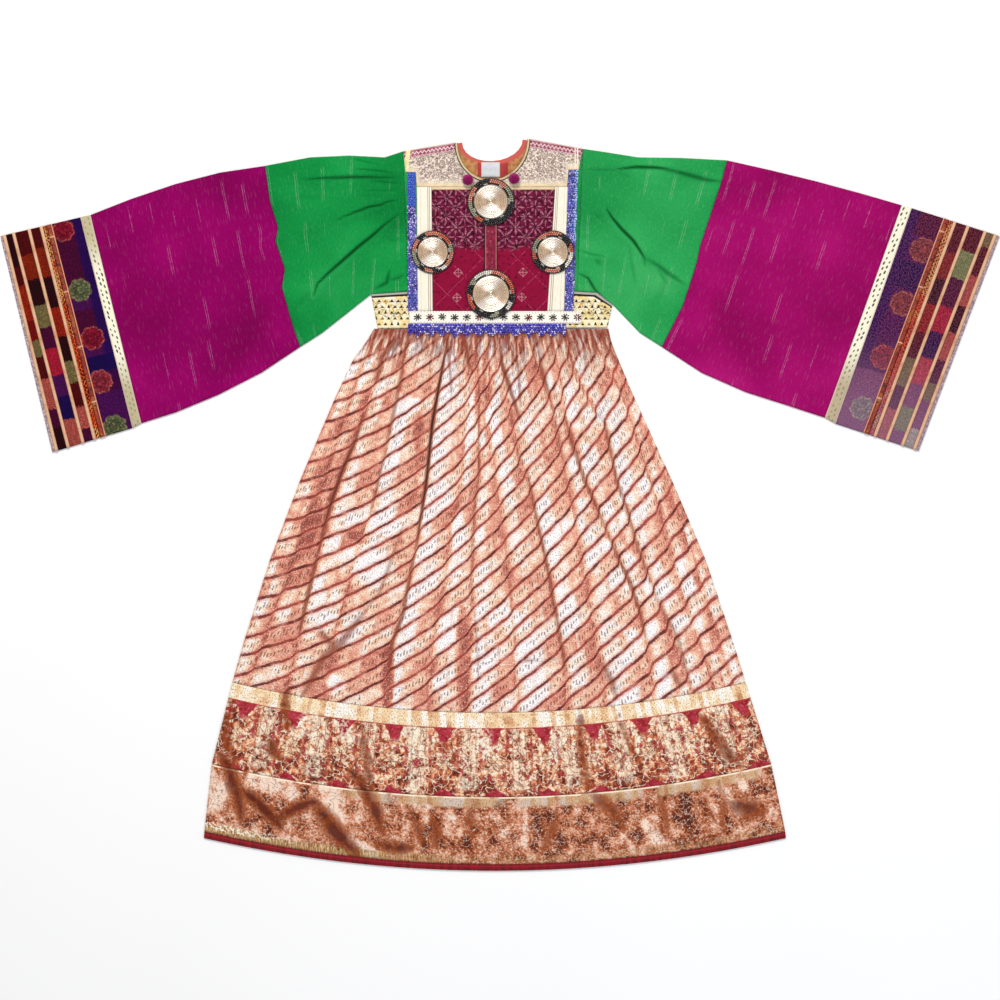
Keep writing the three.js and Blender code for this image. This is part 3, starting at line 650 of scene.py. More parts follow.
def shell(name, material, plan, across, along, low, wall=CLOTH, crown=None, cloth=None, extra=None):
    """A closed thin piece of cloth over a grid in plan. low(x, y) is its underside.
    crown(a, b) scales the wall, and cloth(a, b, x, y) gives its pattern's coordinates.
    extra names more fields of the same four values, such as where the cloth lies in shade."""
    a, b = grid(across, along)
    x, y = draw_in(*plan(a, b))
    under = low(x, y)
    thickness = wall * (crown(a, b) if crown else 1)
    rim = np.ones_like(a)
    rim[[0, -1], :] = RIM_THIN
    rim[:, [0, -1]] = RIM_THIN
    points = two_sides(x, y, under + thickness * rim, under)
    turn = (x[0, 1] - x[0, 0]) * (y[1, 0] - y[0, 0]) - (y[0, 1] - y[0, 0]) * (x[1, 0] - x[0, 0])
    faces = shell_faces(*x.shape, flip=turn < 0)
    given = cloth(a, b, x, y) if cloth else (x, y, np.zeros_like(x))
    attributes = {"cloth": np.tile(np.stack(given, -1).reshape(-1, 3), (2, 1))}
    for key, make in (extra or {}).items():
        attributes[key] = np.tile(make(a, b, x, y).ravel(), 2)
    made = new_object(name, points, faces, material, attributes)
    row_lengths = np.hypot(np.diff(x, axis=1), np.diff(y, axis=1)).sum(1)
    column_lengths = np.hypot(np.diff(x, axis=0), np.diff(y, axis=0)).sum(0)
    cell = ((x[1:, 1:] - x[:-1, :-1]) * (y[1:, :-1] - y[:-1, 1:])
            - (x[1:, :-1] - x[:-1, 1:]) * (y[1:, 1:] - y[:-1, :-1]))
    made["cut_width"] = row_lengths.max() * MM
    made["cut_length"] = column_lengths.max() * MM
    made["cut_area"] = abs(cell.sum()) / 2 * MM ** 2
    return made


def place(piece, slot, *nodes):
    """The piece rides on the dress and stands for the nodes. slot is not used."""
    if nodes:
        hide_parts(*nodes)
    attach(piece, "root")
    return piece


def lay(piece, fullness=1.0):
    """Works out the flat cut of a piece of cloth, but keeps none of it. fullness is how much wider it is cut
    than it lies.
    """
    width, length = piece["cut_width"] * fullness, piece["cut_length"]
    area = min(piece["cut_area"] * fullness, width * length)


# Shaders

class Term:
    """A number or a colour that shader nodes work out at each point of a surface."""

    def __init__(self, tree, socket):
        self.tree = tree
        self.socket = socket

    def __add__(self, other):
        return calculate("ADD", self, other)

    __radd__ = __add__

    def __sub__(self, other):
        return calculate("SUBTRACT", self, other)

    def __rsub__(self, other):
        return calculate("SUBTRACT", other, self)

    def __mul__(self, other):
        return calculate("MULTIPLY", self, other)

    __rmul__ = __mul__

    def __truediv__(self, other):
        return calculate("DIVIDE", self, other)


def connect(tree, node, name, value):
    if isinstance(value, Term):
        tree.links.new(value.socket, node.inputs[name])
    else:
        node.inputs[name].default_value = value


def calculate(operation, *values):
    tree = next(v.tree for v in values if isinstance(v, Term))
    node = tree.nodes.new("ShaderNodeMath")
    node.operation = operation
    for i, value in enumerate(values):
        connect(tree, node, i, value)
    return Term(tree, node.outputs[0])


floor = partial(calculate, "FLOOR")
fract = partial(calculate, "FRACT")
size_of = partial(calculate, "ABSOLUTE")
sine = partial(calculate, "SINE")
least = partial(calculate, "MINIMUM")
most = partial(calculate, "MAXIMUM")


def length_of(a, b):
    return calculate("SQRT", a * a + b * b)


def angle_of(a, b):
    return calculate("ARCTAN2", b, a)


def ramp(value, start, end):
    """0 at start and 1 at end, smooth between. start may be above end."""
    node = value.tree.nodes.new("ShaderNodeMapRange")
    node.interpolation_type = "SMOOTHSTEP"
    connect(value.tree, node, 0, value)
    connect(value.tree, node, 1, start)
    connect(value.tree, node, 2, end)
    return Term(value.tree, node.outputs[0])


def inside(value, centre, half, soft):
    """1 within half of the centre, fading to 0 over soft beyond that."""
    return ramp(size_of(value - centre), half + soft, half)


def vector(x, y, z=0.0):
    tree = next(v.tree for v in (x, y, z) if isinstance(v, Term))
    node = tree.nodes.new("ShaderNodeCombineXYZ")
    for i, value in enumerate((x, y, z)):
        connect(tree, node, i, value)
    return Term(tree, node.outputs[0])


def noise(x, y, size, detail=2.0, layer=0.0):
    """Soft random values around a half, in patches of that size."""
    tree = x.tree
    node = tree.nodes.new("ShaderNodeTexNoise")
    connect(tree, node, "Vector", vector(x, y, layer * size))
    node.inputs["Scale"].default_value = 1 / size
    node.inputs["Detail"].default_value = detail
    return Term(tree, node.outputs[0])


def scatter(x, y, size, layer=0.0, feature="F1"):
    """A node that spreads random points over the cloth, about that size apart."""
    node = x.tree.nodes.new("ShaderNodeTexVoronoi")
    node.feature = feature
    connect(x.tree, node, "Vector", vector(x, y, layer * size))
    node.inputs["Scale"].default_value = 1 / size
    return node


def blobs(x, y, size, layer=0.0):
    """Distance from the nearest of those points, in shares of their spacing."""
    return Term(x.tree, scatter(x, y, size, layer).outputs["Distance"])


def dice(x, y=0.0):
    """One random value from 0 to 1 for each whole pair of numbers."""
    tree = x.tree
    node = tree.nodes.new("ShaderNodeTexWhiteNoise")
    node.noise_dimensions = "2D"
    connect(tree, node, "Vector", vector(x, y))
    return Term(tree, node.outputs["Value"])


def colour(code):
    """A colour written as #rrggbb, as the linear values that shaders use."""
    parts = [int(code[i:i + 2], 16) / 255 for i in (1, 3, 5)]
    return [p / 12.92 if p <= 0.04045 else ((p + 0.055) / 1.055) ** 2.4 for p in parts] + [1.0]


def paint(under, over, amount, how="MIX"):
    """The colour over another one, by an amount from 0 to 1."""
    tree = next(v.tree for v in (under, over, amount) if isinstance(v, Term))
    node = tree.nodes.new("ShaderNodeMix")
    node.data_type = "RGBA"
    node.blend_type = how
    connect(tree, node, 0, amount)
    connect(tree, node, 6, colour(under) if isinstance(under, str) else under)
    connect(tree, node, 7, colour(over) if isinstance(over, str) else over)
    return Term(tree, node.outputs[2])


def palette(value, stops, constant=True):
    """Colours along a value from 0 to 1: a list of (place, colour)."""
    node = value.tree.nodes.new("ShaderNodeValToRGB")
    node.color_ramp.interpolation = "CONSTANT" if constant else "LINEAR"
    elements = node.color_ramp.elements
    while len(elements) > 1:
        elements.remove(elements[-1])
    elements[0].position = stops[0][0]
    elements[0].color = colour(stops[0][1])
    for at, code in stops[1:]:
        elements.new(at).color = colour(code)
    connect(value.tree, node, 0, value)
    return Term(value.tree, node.outputs[0])


def split(tree, socket):
    """The three parts of a vector."""
    node = tree.nodes.new("ShaderNodeSeparateXYZ")
    tree.links.new(socket, node.inputs[0])
    return [Term(tree, output) for output in node.outputs]


def read(tree, name):
    node = tree.nodes.new("ShaderNodeAttribute")
    node.attribute_name = name
    return node


def read_number(tree, name):
    return Term(tree, read(tree, name).outputs["Fac"])


def read_vector(tree, name):
    return split(tree, read(tree, name).outputs["Vector"])


def material(name, make, roughness=0.8, metallic=0.0, sheen=0.0, specular=0.3, coat=0.0):
    """A procedural material. make(tree) returns its colour, its height in millimetres or None,
    and its roughness if that varies."""
    made = bpy.data.materials.new(name)
    made.use_nodes = True
    tree = made.node_tree
    shader = tree.nodes["Principled BSDF"]
    shader.inputs["Roughness"].default_value = roughness
    shader.inputs["Metallic"].default_value = metallic
    shader.inputs["Sheen Weight"].default_value = sheen
    shader.inputs["Sheen Roughness"].default_value = 0.4
    shader.inputs["Specular IOR Level"].default_value = specular
    shader.inputs["Coat Weight"].default_value = coat
    base, height, rough = make(tree)
    connect(tree, shader, "Base Color", base)
    if height is not None:
        bump = tree.nodes.new("ShaderNodeBump")
        bump.inputs["Distance"].default_value = MM
        connect(tree, bump, "Height", height)
        tree.links.new(bump.outputs[0], shader.inputs["Normal"])
    if rough is not None:
        connect(tree, shader, "Roughness", rough)
    return made


def weave(x, y, pitch=1.1, height=0.12):
    """A plain weave's height: threads over and under each other."""
    turn = math.pi / pitch
    return size_of(sine(x * turn)) * size_of(sine(y * turn + math.pi / 2)) * height


# Patterns on the skirt: its cloth hangs from a point above the neck, so pleats and grain run from there.
# The functions that give a piece its fields all take the place on its grid, a and b, and the place in plan.
GRAIN_APEX = (-17, 858)
GRAIN_REACH = 1000
STRIPE_PITCH = 30
STRIPE_STEP = 0.63
SKIRT_TONES = [
    (0.02, "#a44c3c"), (0.24, "#d27e66"), (0.4, "#eeaa8e"), (0.54, "#fad0b0"), (0.66, "#feeedc"),
    (0.8, "#ffffff"),
]


def skirt_cloth(a, b, x, y):
    """Pattern coordinates on the skirt: across the grain, along it, and stripe number.
    The stripes fan out to the right, and the cloth that a pleat hides makes them step up there."""
    away_x, away_y = x - GRAIN_APEX[0], GRAIN_APEX[1] - y
    along = np.hypot(away_x, away_y)
    turn = np.arctan2(away_x, away_y)
    hidden = np.zeros_like(x)
    below = np.clip((SKIRT[WAIST, 2] - y) / (SKIRT[WAIST, 2] - SKIRT[BORDER, 2]), 0, 1)
    for (top, low, half, _), line in zip(PLEATS, pleat_x(y)[1:-1]):
        hidden = hidden + mix(top, low, below) * smooth((x - line) / (2 * half) + 0.5)
    ripple = 0.035 * np.sin(along / 23 + turn * 70) + 0.02 * np.sin(along / 9 - turn * 131)
    fan = along * (1 + 0.2 * turn - 0.6 * turn ** 2 - 0.4 * turn ** 3)
    rise = 580 * turn + 400 * turn ** 2 - 580 * turn ** 3
    return turn * GRAIN_REACH, along, (fan + rise + STRIPE_STEP * hidden) / STRIPE_PITCH + ripple


def lower_light(a, b, x, y):
    return np.clip(0.5 + glow_at(LOWER_GLOWS, x, y), 0, 1)


def skirt_shade(a, b, x, y):
    """Dark folds, and the dim cloth between the gathers under the waist."""
    below = SKIRT[0, 2] - y
    valley = smooth(1 - below / 90) * 0.5 * (1 - gather_rise(x, y)) ** 2
    return np.clip(np.maximum(fold_darkness(SKIRT_FOLDS, x, y), valley), 0, 1)


def skirt_light(a, b, x, y):
    """Painted light on the brocade, around a half: the glows, one lit side of each pleat, painted shade along
    each pleat's turn, and a little more light to the right.
    """
    _, share = pleat_place(x, y)
    total = 0.5 + 0.22 * np.sin(FULL_TURN * (share - 0.06)) * (1 - share)
    total = total + glow_at(SKIRT_GLOWS, x, y) + 0.1 * smooth((x + 220) / 160)
    for (_, _, half, _), line in zip(PLEATS, pleat_x(y)[1:-1]):
        total = total - 0.22 * np.exp(-(((x - line) / (1.1 * half)) ** 2))
    return np.clip(total, 0, 1)


def skirt_column(a, b, x, y):
    number, share = pleat_place(x, y)
    return number + share


def waist_breakup_and_light(a, b, x, y):
    """1 at the waist, where the gathers break the pattern up and streak it with painted shade and highlights,
    and 0 well below it.
    """
    return smooth(1 - (SKIRT[0, 2] - 12 * np.sin(x / 17) - y) / 80)


def brocade_stripes(tree):
    across, along, stripe = read_vector(tree, "cloth")
    shade = read_number(tree, "shade")
    light = read_number(tree, "light")
    column = read_number(tree, "column")
    breakup_and_light = read_number(tree, "breakup_and_light")
    frayed = stripe + (noise(across, along, 5, 3.0, 1) - 0.5) * (breakup_and_light * 0.4 + 0.12)
    part = fract(frayed)
    number = floor(frayed)
    from_line = 0.5 - size_of(part - 0.5)
    pleat = floor(column)
    later = ramp(fract(column) - dice(pleat, number) * 0.4, 0.27, 0.33)
    luck = dice(number + later * 57, pleat)
    drift = noise(across, along, 80, 2.0)
    cloudy = noise(across, along, 11, 3.0, 8)
    bright = light + (luck - 0.5) * 0.42 + (drift - 0.5) * 0.7 + (cloudy - 0.5) * 0.75
    band = palette(bright, SKIRT_TONES, constant=False)
    band = paint(band, "#e08470", ramp(from_line, 0.28, 0.1) * 0.6)
    # Sparkle of the metal thread
    grain = noise(across * 1.5, along, 2.6, 3.0, 3)
    band = paint(band, "#984636", ramp(grain, 0.49, 0.36) * 0.6)
    band = paint(band, "#fff6ea", ramp(grain, 0.55, 0.68) * 0.6)
    # A row of small woven figures in the middle of each stripe
    place_across = across / 4.4 + luck * 3
    figure = floor(place_across)
    middle = (dice(figure, number) - 0.5) * 0.24 + 0.48
    reach = dice(figure, number + 0.5) * 0.08 + 0.04
    stroke = inside(fract(place_across), 0.5, 0.15, 0.16) * inside(part, middle, reach, 0.03)
    shown = ramp(dice(floor(across / 26 + luck), number + 0.3), 0.22, 0.3) * ramp(grain, 0.4, 0.47)
    band = paint(band, "#5a2416", stroke * shown * 0.8)
    # Between the waist gathers the pattern breaks up, and painted streaks of shade and highlight run down it
    streak = noise(across * 1.5, along * 0.4, 12, 3.0, 12)
    band = paint(band, "#8c3a20", breakup_and_light * ramp(streak, 0.55, 0.47) * 0.95)
    band = paint(band, "#fff0dc", breakup_and_light * ramp(streak, 0.57, 0.64) * 0.7)
    worn = ramp(noise(across, along, 16, 3.0, 15), 0.32, 0.5) * 0.35 + 0.65
    line = ramp(from_line + (grain - 0.5) * 0.06, 0.11, 0.06)
    line = line * (1 - breakup_and_light * 0.8 * ramp(streak, 0.44, 0.52)) * worn
    dark_line = paint("#a04034", "#5c160a", ramp(noise(across, along, 30, 2.0, 5) + shade * 0.5, 0.4, 0.62))
    cloth = paint(band, dark_line, line * 0.95)
    cloth = paint(cloth, "#8a3a20", ramp(shade, 0.0, 0.6) * 0.8)
    cloth = paint(cloth, "#300a02", ramp(shade, 0.55, 0.9) * 0.92)
    height = grain * 0.6 + cloudy * 0.9 - line * 0.25
    rough = 0.42 + line * 0.25 + cloudy * 0.2
    return cloth, height, rough


# Patterns on the lower skirt. A ribbon lies under the border's seam, and the figures repeat round it.
RIBBON = 25
MOTIF = 82
MEAN_WIDTH = 868.0
BINDING_LENGTH = 950
GOLD_TONES = [(0.0, "#a87040"), (0.2, "#d8a070"), (0.38, "#f2cc9c"), (0.56, "#fbe4bc"), (0.74, "#fffaf0")]
BORDER_TONES = [
    (0.04, "#5c1a04"), (0.22, "#a04626"), (0.36, "#d47e54"), (0.5, "#f2aa7e"), (0.64, "#fcd4aa"),
    (0.8, "#fff2dc"),
]
FLOUNCE_TONES = [
    (0.1, "#581c02"), (0.26, "#8c4018"), (0.42, "#b4643c"), (0.54, "#d08a68"), (0.68, "#e6b094"),
    (0.86, "#f6dcc8"),
]


def band_cloth(seam):
    """Pattern coordinates on a band round the skirt: across it, and down from its seam."""
    def cloth(a, b, x, y):
        number = np.arange(len(SKIRT))
        down = SKIRT[seam, 2] - np.interp(seam + b, number, SKIRT[:, 2])
        return a * MEAN_WIDTH, down, np.zeros_like(a)
    return cloth


def ribbon_colour(across, down, layer):
    """A woven gold ribbon: upright patches that catch the light unevenly."""
    patch = dice(floor(across / 8 + noise(across, down * 0.2, 40, 2.0, layer) * 4), layer)
    cloudy = noise(across, down, 22, 3.0, layer + 1)
    tone = patch * 0.5 + (cloudy - 0.5) * 1.2 + 0.25
    gold = palette(tone, GOLD_TONES, constant=False)
    fleck = noise(across * 1.8, down, 3, 3.0, layer)
    gold = paint(gold, "#8c5030", ramp(fleck, 0.48, 0.34) * 0.75)
    return paint(gold, "#fffaf0", ramp(fleck, 0.57, 0.68) * 0.75)


def shaded(cloth, shade, ragged):
    """The red-brown dusk in the folds of the lower skirt, with torn edges."""
    deep = shade + (ragged - 0.5) * 1.6 * ramp(shade, 0.0, 0.25)
    cloth = paint(cloth, "#94420e", ramp(deep, 0.05, 0.45) * 0.75)
    return paint(cloth, "#5c1602", ramp(deep, 0.4, 1.0) * 0.9)


def scrolls(x, y, size, layer):
    """Fine curling lines, like the outlines in a brocade: 1 on a line and 0 off it."""
    return inside(noise(x, y, size, 1.5, layer), 0.5, 0.008, 0.026)


def outlined_cells(across, down, size, layer):
    """Small uneven figures with an outline: their random values, and the outline from 0 to 1."""
    tree = across.tree
    luck, _, _ = split(tree, scatter(across, down, size, layer).outputs["Color"])
    edge = scatter(across, down, size, layer, "DISTANCE_TO_EDGE")
    return luck, ramp(Term(tree, edge.outputs["Distance"]), 0.12, 0.03)


def brocade_border(tree):
    across, down, _ = read_vector(tree, "cloth")
    shade = read_number(tree, "shade")
    light = read_number(tree, "light")
    wobble = noise(across, down, 24, 3.0, 4) - 0.5
    fine = noise(across, down, 4.6, 3.0, 6)
    coarse = noise(across, down, 13, 3.0, 16)
    streak = noise(across * 2.4, down * 0.7, 16, 2.0, 19)
    u = (fract(across / MOTIF + 0.13) - 0.5) * MOTIF + wobble * 10
    v = down - RIBBON + wobble * 6
    side = size_of(u)
    ground = paint("#b43444", "#981c2a", ramp(coarse, 0.42, 0.6))
    ground = paint(ground, "#e08070", ramp(fine, 0.56, 0.66) * 0.5)
    # Figures: pale pillars, and between them a bush under an arch, darker towards its foot
    luck, outline_line = outlined_cells(across * 1.1 + wobble * 40, down * 0.8 + coarse * 20, 15, 2)
    tone = (luck - 0.5) * 0.45 + (coarse - 0.5) * 1.7 + (streak - 0.5) * 1.3 + (light - 0.5) * 0.9 + 0.49
    tone = tone - ramp(v + wobble * 40, 40, 100) * 0.26
    figure = palette(tone, BORDER_TONES, constant=False)
    figure = paint(figure, "#a04a28", outline_line * 0.4)
    pillar = ramp(side, 27, 29) * ramp(v, 104, 94)
    pillar_line = most(inside(side, 29.5, 0.7, 1.0), inside(side, 39.6, 0.5, 1.0))
    figure = paint(figure, "#fdf0d4", pillar * ramp(coarse, 0.38, 0.5) * 0.6)
    figure = paint(figure, "#9c4c28", pillar_line * ramp(v, 104, 94) * ramp(fine, 0.36, 0.48) * 0.7)
    flower = length_of(u, (v - 56) * 0.9) - sine(angle_of(u, v - 56) * 7) * 2.6 + wobble * 12
    figure = paint(figure, "#fbe2bc", ramp(flower, 12, 9.5) * 0.6)
    figure = paint(figure, "#84361a", inside(flower, 11.5, 0.8, 1.4) * 0.6)
    figure = paint(figure, "#a03020", ramp(flower, 4.5, 3.0) * 0.7)
    figure = paint(figure, "#ffecd2", scrolls(across, down, 12, 21) * 0.8)
    figure = paint(figure, "#7c2e10", scrolls(across, down, 13, 24) * 0.75)
    figure = paint(figure, "#fff2de", ramp(fine, 0.6, 0.68) * 0.4)
    figure = paint(figure, "#7c3014", ramp(fine, 0.41, 0.33) * 0.5)
    # The crimson ground shows in a tent at the top, at the bush's sides and in a flat wedge at its foot
    ragged = (coarse - 0.5) * 12
    tent = ramp((side + ragged) * (v * 0.06 + 0.9) + v * 0.12, 19, 16) * ramp(v, 32, 20)
    stem = inside(side, 22, 1.4, 2.4) * ramp(v, 2, 12) * ramp(v, 74, 50) * ramp(coarse, 0.44, 0.52)
    wedge = ramp(side + (108 - v) * 1.7 + ragged, 20, 16)
    blotch = ramp(noise(across, down, 11, 3.0, 18), 0.6, 0.64) * ramp(v, 8, 30)
    gaps = most(most(tent, wedge), most(stem, blotch) * 0.85)
    field = paint(figure, ground, gaps)
    ribbon = ribbon_colour(across, down, 3)
    edge = down + wobble * 3
    cloth = paint(ribbon, field, ramp(edge, RIBBON - 1.0, RIBBON + 0.4))
    cloth = paint(cloth, "#b03c34", inside(edge, RIBBON + 0.6, 0.6, 0.8) * ramp(coarse, 0.36, 0.5) * 0.8)
    cloth = paint(cloth, "#fff2d8", ramp(light, 0.6, 1.0) * ramp(fine, 0.46, 0.56) * 0.5)
    cloth = shaded(cloth, shade, coarse)
    height = fine * 0.9 + coarse * 1.2 - gaps * 0.3
    rough = 0.5 + gaps * 0.3
    return cloth, height, rough


def brocade_flounce(tree):
    across, down, _ = read_vector(tree, "cloth")
    shade = read_number(tree, "shade")
    light = read_number(tree, "light")
    fine = noise(across, down, 3.4, 3.0, 2)
    patch = noise(across * 1.3, down, 22, 4.0, 7)
    cloudy = noise(across, down * 0.8, 70, 2.0, 9)
    tone = (patch - 0.5) * 1.9 + (cloudy - 0.5) * 0.7 + (fine - 0.5) * 0.8 + light * 0.9 - 0.03
    ground = palette(tone, FLOUNCE_TONES, constant=False)
    ground = paint(ground, "#ffdcc4", scrolls(across, down, 9, 25) * 0.5)
    ground = paint(ground, "#742c0c", scrolls(across, down, 10, 28) * 0.6)
    ground = paint(ground, "#fff8ee", ramp(fine, 0.61, 0.7) * 0.55)
    # A gold strip just above the hem, speckled with white at the left
    grain = noise(across * 3.2, down * 0.5, 6, 2.0, 12)
    strip = palette(grain, [(0.34, "#6e4018"), (0.48, "#a87c40"), (0.62, "#dcc494")], constant=False)
    strip_edge = down + (cloudy - 0.5) * 12 + (patch - 0.5) * 8
    worn = ramp(across + (patch - 0.5) * 200, 420, 240) * 0.55 + 0.2
    ground = paint(ground, strip, ramp(strip_edge, 95, 100) * worn)
    glint = ramp(noise(across, down, 4, 2.0, 17), 0.5, 0.56) * inside(down, 99, 4, 3) * ramp(across, 190, 20)
    ground = paint(ground, "#fff8e0", glint)
    # The ribbon under the seam is worn away in places, and gone at the left
    ribbon = paint(ribbon_colour(across, down, 11), "#a0642f", 0.45)
    left_on = ramp(across + (patch - 0.5) * 40, 190, 230)
    left_on = left_on * ramp(noise(across, down * 0.3, 44, 2.0, 14), 0.36, 0.5)
    edge = down + (patch - 0.5) * 10
    cloth = paint(ground, ribbon, ramp(edge, 19, 14) * left_on * 0.9)
    seam_line = inside(down, 1.4, 0.8, 0.8) * ramp(noise(across, down, 30, 1.0, 3), 0.4, 0.5)
    cloth = paint(cloth, "#fff0d4", seam_line * 0.9)
    cloth = shaded(cloth, shade, patch)
    height = fine * 1.0 + patch * 1.4
    return cloth, height, 0.5 + fine * 0.15


def red_binding(tree):
    x, y, _ = read_vector(tree, "cloth")
    base = paint("#900014", "#66000c", ramp(noise(x, y, 7, 2.0), 0.35, 0.65))
    # A painted highlight in a line along the binding
    base = paint(base, "#b02438", inside(y, 0.35, 0.06, 0.12) * 0.4)
    return base, weave(x, x * 0.7 + y, 1.4, 0.2), None


# Patterns on the bodice

# Leaves of each star on the velvet, and petals of each flower on the trim
SPOKES = 8


def waistband_print(tree):
    x, y, down = read_vector(tree, "cloth")
    ground = paint("#f0d898", "#fbf2d4", ramp(noise(x, y, 14, 2.0), 0.4, 0.6))
    row = floor(y / 9.5)
    u = fract(x / 10.5 + fract(row * 0.5)) - 0.5
    v = fract(y / 9.5) - 0.5
    tilt = dice(floor(x / 10.5 + fract(row * 0.5)), row)
    triangle = ramp(size_of(u) * 1.5 + v * (tilt * 1.2 + 0.3), 0.26, 0.18) * inside(v, 0, 0.24, 0.08)
    mark = paint("#241a18", "#7c6020", ramp(tilt, 0.6, 0.9))
    cloth = paint(ground, mark, triangle)
    scribble = noise(x, y, 7, 3.0, 6)
    middle = inside(down, 0.45, 0.2, 0.12)
    cloth = paint(cloth, "#2c201c", inside(scribble, 0.5, 0.012, 0.02) * middle * 0.8)
    cloth = paint(cloth, "#e8b040", ramp(blobs(x, y, 9, 3), 0.26, 0.16) * 0.8)
    cloth = paint(cloth, "#b0aaa4", ramp(down, 0.1, 0.07))
    cloth = paint(cloth, "#181014", inside(down, 0.085, 0.02, 0.015))
    return cloth, weave(x, y, 1.2, 0.15) + noise(x, y, 16, 2.0, 4) * 1.2, None


def striped_lining(tree):
    x, y, _ = read_vector(tree, "cloth")
    ground = paint("#c48a58", "#a86c44", ramp(noise(x, y, 7, 2.0), 0.4, 0.6))
    red = paint("#98282c", "#b84440", noise(x, y, 6, 2.0, 3))
    stripes = most(inside(x, -34, 2.6, 0.8), inside(x, 7, 6.2, 0.8))
    cloth = paint(ground, red, stripes)
    edge = length_of((x + 12.5) / 50, (y - 601) / 33)
    cloth = paint(cloth, "#c85a50", ramp(edge, 1.24, 1.12))
    return cloth, weave(x, y, 1.2, 0.15), None


def pale_patch(tree):
    x, y, _ = read_vector(tree, "cloth")
    base = paint("#e6e8ea", "#bcc4c8", noise(x, y, 9, 2.0))
    return base, weave(x, y, 1.0, 0.15), None


def yoke_embroidery(tree):
    x, depth, low = read_vector(tree, "cloth")
    scribble = noise(x, depth, 3.2, 3.0, 2)
    silver = palette(scribble, [(0.34, "#78605c"), (0.42, "#ac948a"), (0.5, "#d0bcae"), (0.58, "#ecdece"),
                                (0.7, "#f6eadc")], constant=False)
    curl = blobs(x, depth, 5.2, 4)
    curl_ring = inside(curl, 0.38, 0.05, 0.08)
    silver = paint(silver, "#48303a", curl_ring * ramp(scribble, 0.42, 0.5) * 0.7)
    silver = paint(silver, "#f0e2cc", ramp(low, 16, 9) * 0.55)
    cloth = paint(silver, "#ecd4ae", ramp(low, 6.5, 5.0) * 0.9)
    # Rows of zigzag along the shoulder
    zig = size_of(fract(x / 6.4) - 0.5) * 2
    row_1 = inside(depth - 4.0 - zig * 4.0, 0, 0.6, 0.9)
    row_2 = inside(depth - 10.4 - (1 - zig) * 2.4, 0, 0.4, 0.8)
    mauve = paint("#8c3450", "#b06a78", ramp(noise(x, depth, 5, 2.0, 9), 0.4, 0.6))
    band = paint(mauve, "#f0d4d8", most(row_1, row_2 * 0.7))
    cloth = paint(band, cloth, ramp(depth, 11.8, 13.4))
    cloth = paint(cloth, "#d9b9b4", ramp(depth, 1.6, 0.8) * 0.7)
    left = inside(x + (depth - 5) * 0.16, -152, 3.4, 0.9)
    right = most(inside(x, 128, 0.9, 0.6), inside(x, 124, 0.7, 0.6))
    cloth = paint(cloth, "#f4e8a8", left * 0.95)
    cloth = paint(cloth, "#f6ecd0", right * 0.9)
    return cloth, scribble * 1.0 + curl_ring * 0.4, 0.42 + scribble * 0.2


def star_velvet(tree):
    x, y, _ = read_vector(tree, "cloth")
    mottle = noise(x, y, 6, 3.0)
    ground_top = paint("#44001c", "#74103a", ramp(mottle, 0.38, 0.62))
    ground_low = paint("#7c002c", "#96083a", noise(x, y, 12, 2.0, 3))
    boundary = noise(x, y, 30, 1.0, 5) * 16
    upper = ramp(y + boundary, 426, 436)
    ground = paint(ground_low, ground_top, upper)
    # Stars of eight leaves on a diagonal lattice
    pitch = 33.0
    leaves = []
    veins = []
    waved_x = x + (noise(x, y, 20, 2.0, 14) - 0.5) * 9
    waved_y = y + (noise(x, y, 20, 2.0, 16) - 0.5) * 9
    for shift in (0.0, 0.5):
        u = (fract(waved_x / pitch + shift + 0.22) - 0.5) * pitch
        v = (fract(waved_y / pitch + shift + 0.1) - 0.5) * pitch
        r = length_of(u, v)
        spoke = (fract(angle_of(u, v) * (SPOKES / FULL_TURN) + 0.5) - 0.5) * (FULL_TURN / SPOKES)
        off = size_of(spoke) * r
        leaf = ramp(off - sine(ramp(r, 2, 15) * math.pi) * 1.9, 0.6, 0.0)
        leaf = leaf * ramp(r, 15.0, 13.5) * ramp(r, 1.4, 2.4)
        vein = ramp(off, 0.7, 0.3) * ramp(r, 14.5, 13.0)
        leaves.append(leaf)
        veins.append(vein)
    stars = reduce(most, leaves)
    broken = ramp(noise(x, y, 5, 3.0, 8), 0.42, 0.54)
    cloth = paint(ground, paint("#8c3454", "#b06c84", noise(x, y, 4, 2.0, 6)), stars * broken * upper * 0.85)
    cloth = paint(cloth, "#d8a4b0", reduce(most, veins) * ramp(mottle, 0.46, 0.58) * upper * 0.5)
    cloth = paint(cloth, "#2c0012", ramp(mottle, 0.44, 0.34) * 0.6)
    diagonal = most(
        inside(fract((x + y) / 58), 0.5, 0.006, 0.012),
        inside(fract((x - y) / 58), 0.5, 0.006, 0.012),
    )
    cloth = paint(cloth, "#b8486c", diagonal * (1 - upper) * broken * 0.8)
    for cx, cy in ((-69, 383), (38, 384), (-71, 342), (36, 343)):
        du = size_of(x - cx)
        dv = size_of(y - cy)
        diamond = inside(du + dv, 7.4, 0.3, 0.6)
        cross = ramp(least(du, dv), 1.0, 0.3) * ramp(du + dv, 8.2, 7.4)
        cloth = paint(cloth, "#d89aa4", most(diamond, cross) * (ramp(mottle, 0.4, 0.5) * 0.3 + 0.3))
    # A cream line under the yoke
    cloth = paint(cloth, "#e6d0a8", ramp(y, 519.5, 521.5))
    pile = noise(x, y, 1.2, 2.0, 20)
    return cloth, pile * 0.5 + stars * upper * 0.7 + noise(x, y, 18, 1.0, 4) * 1.2, None


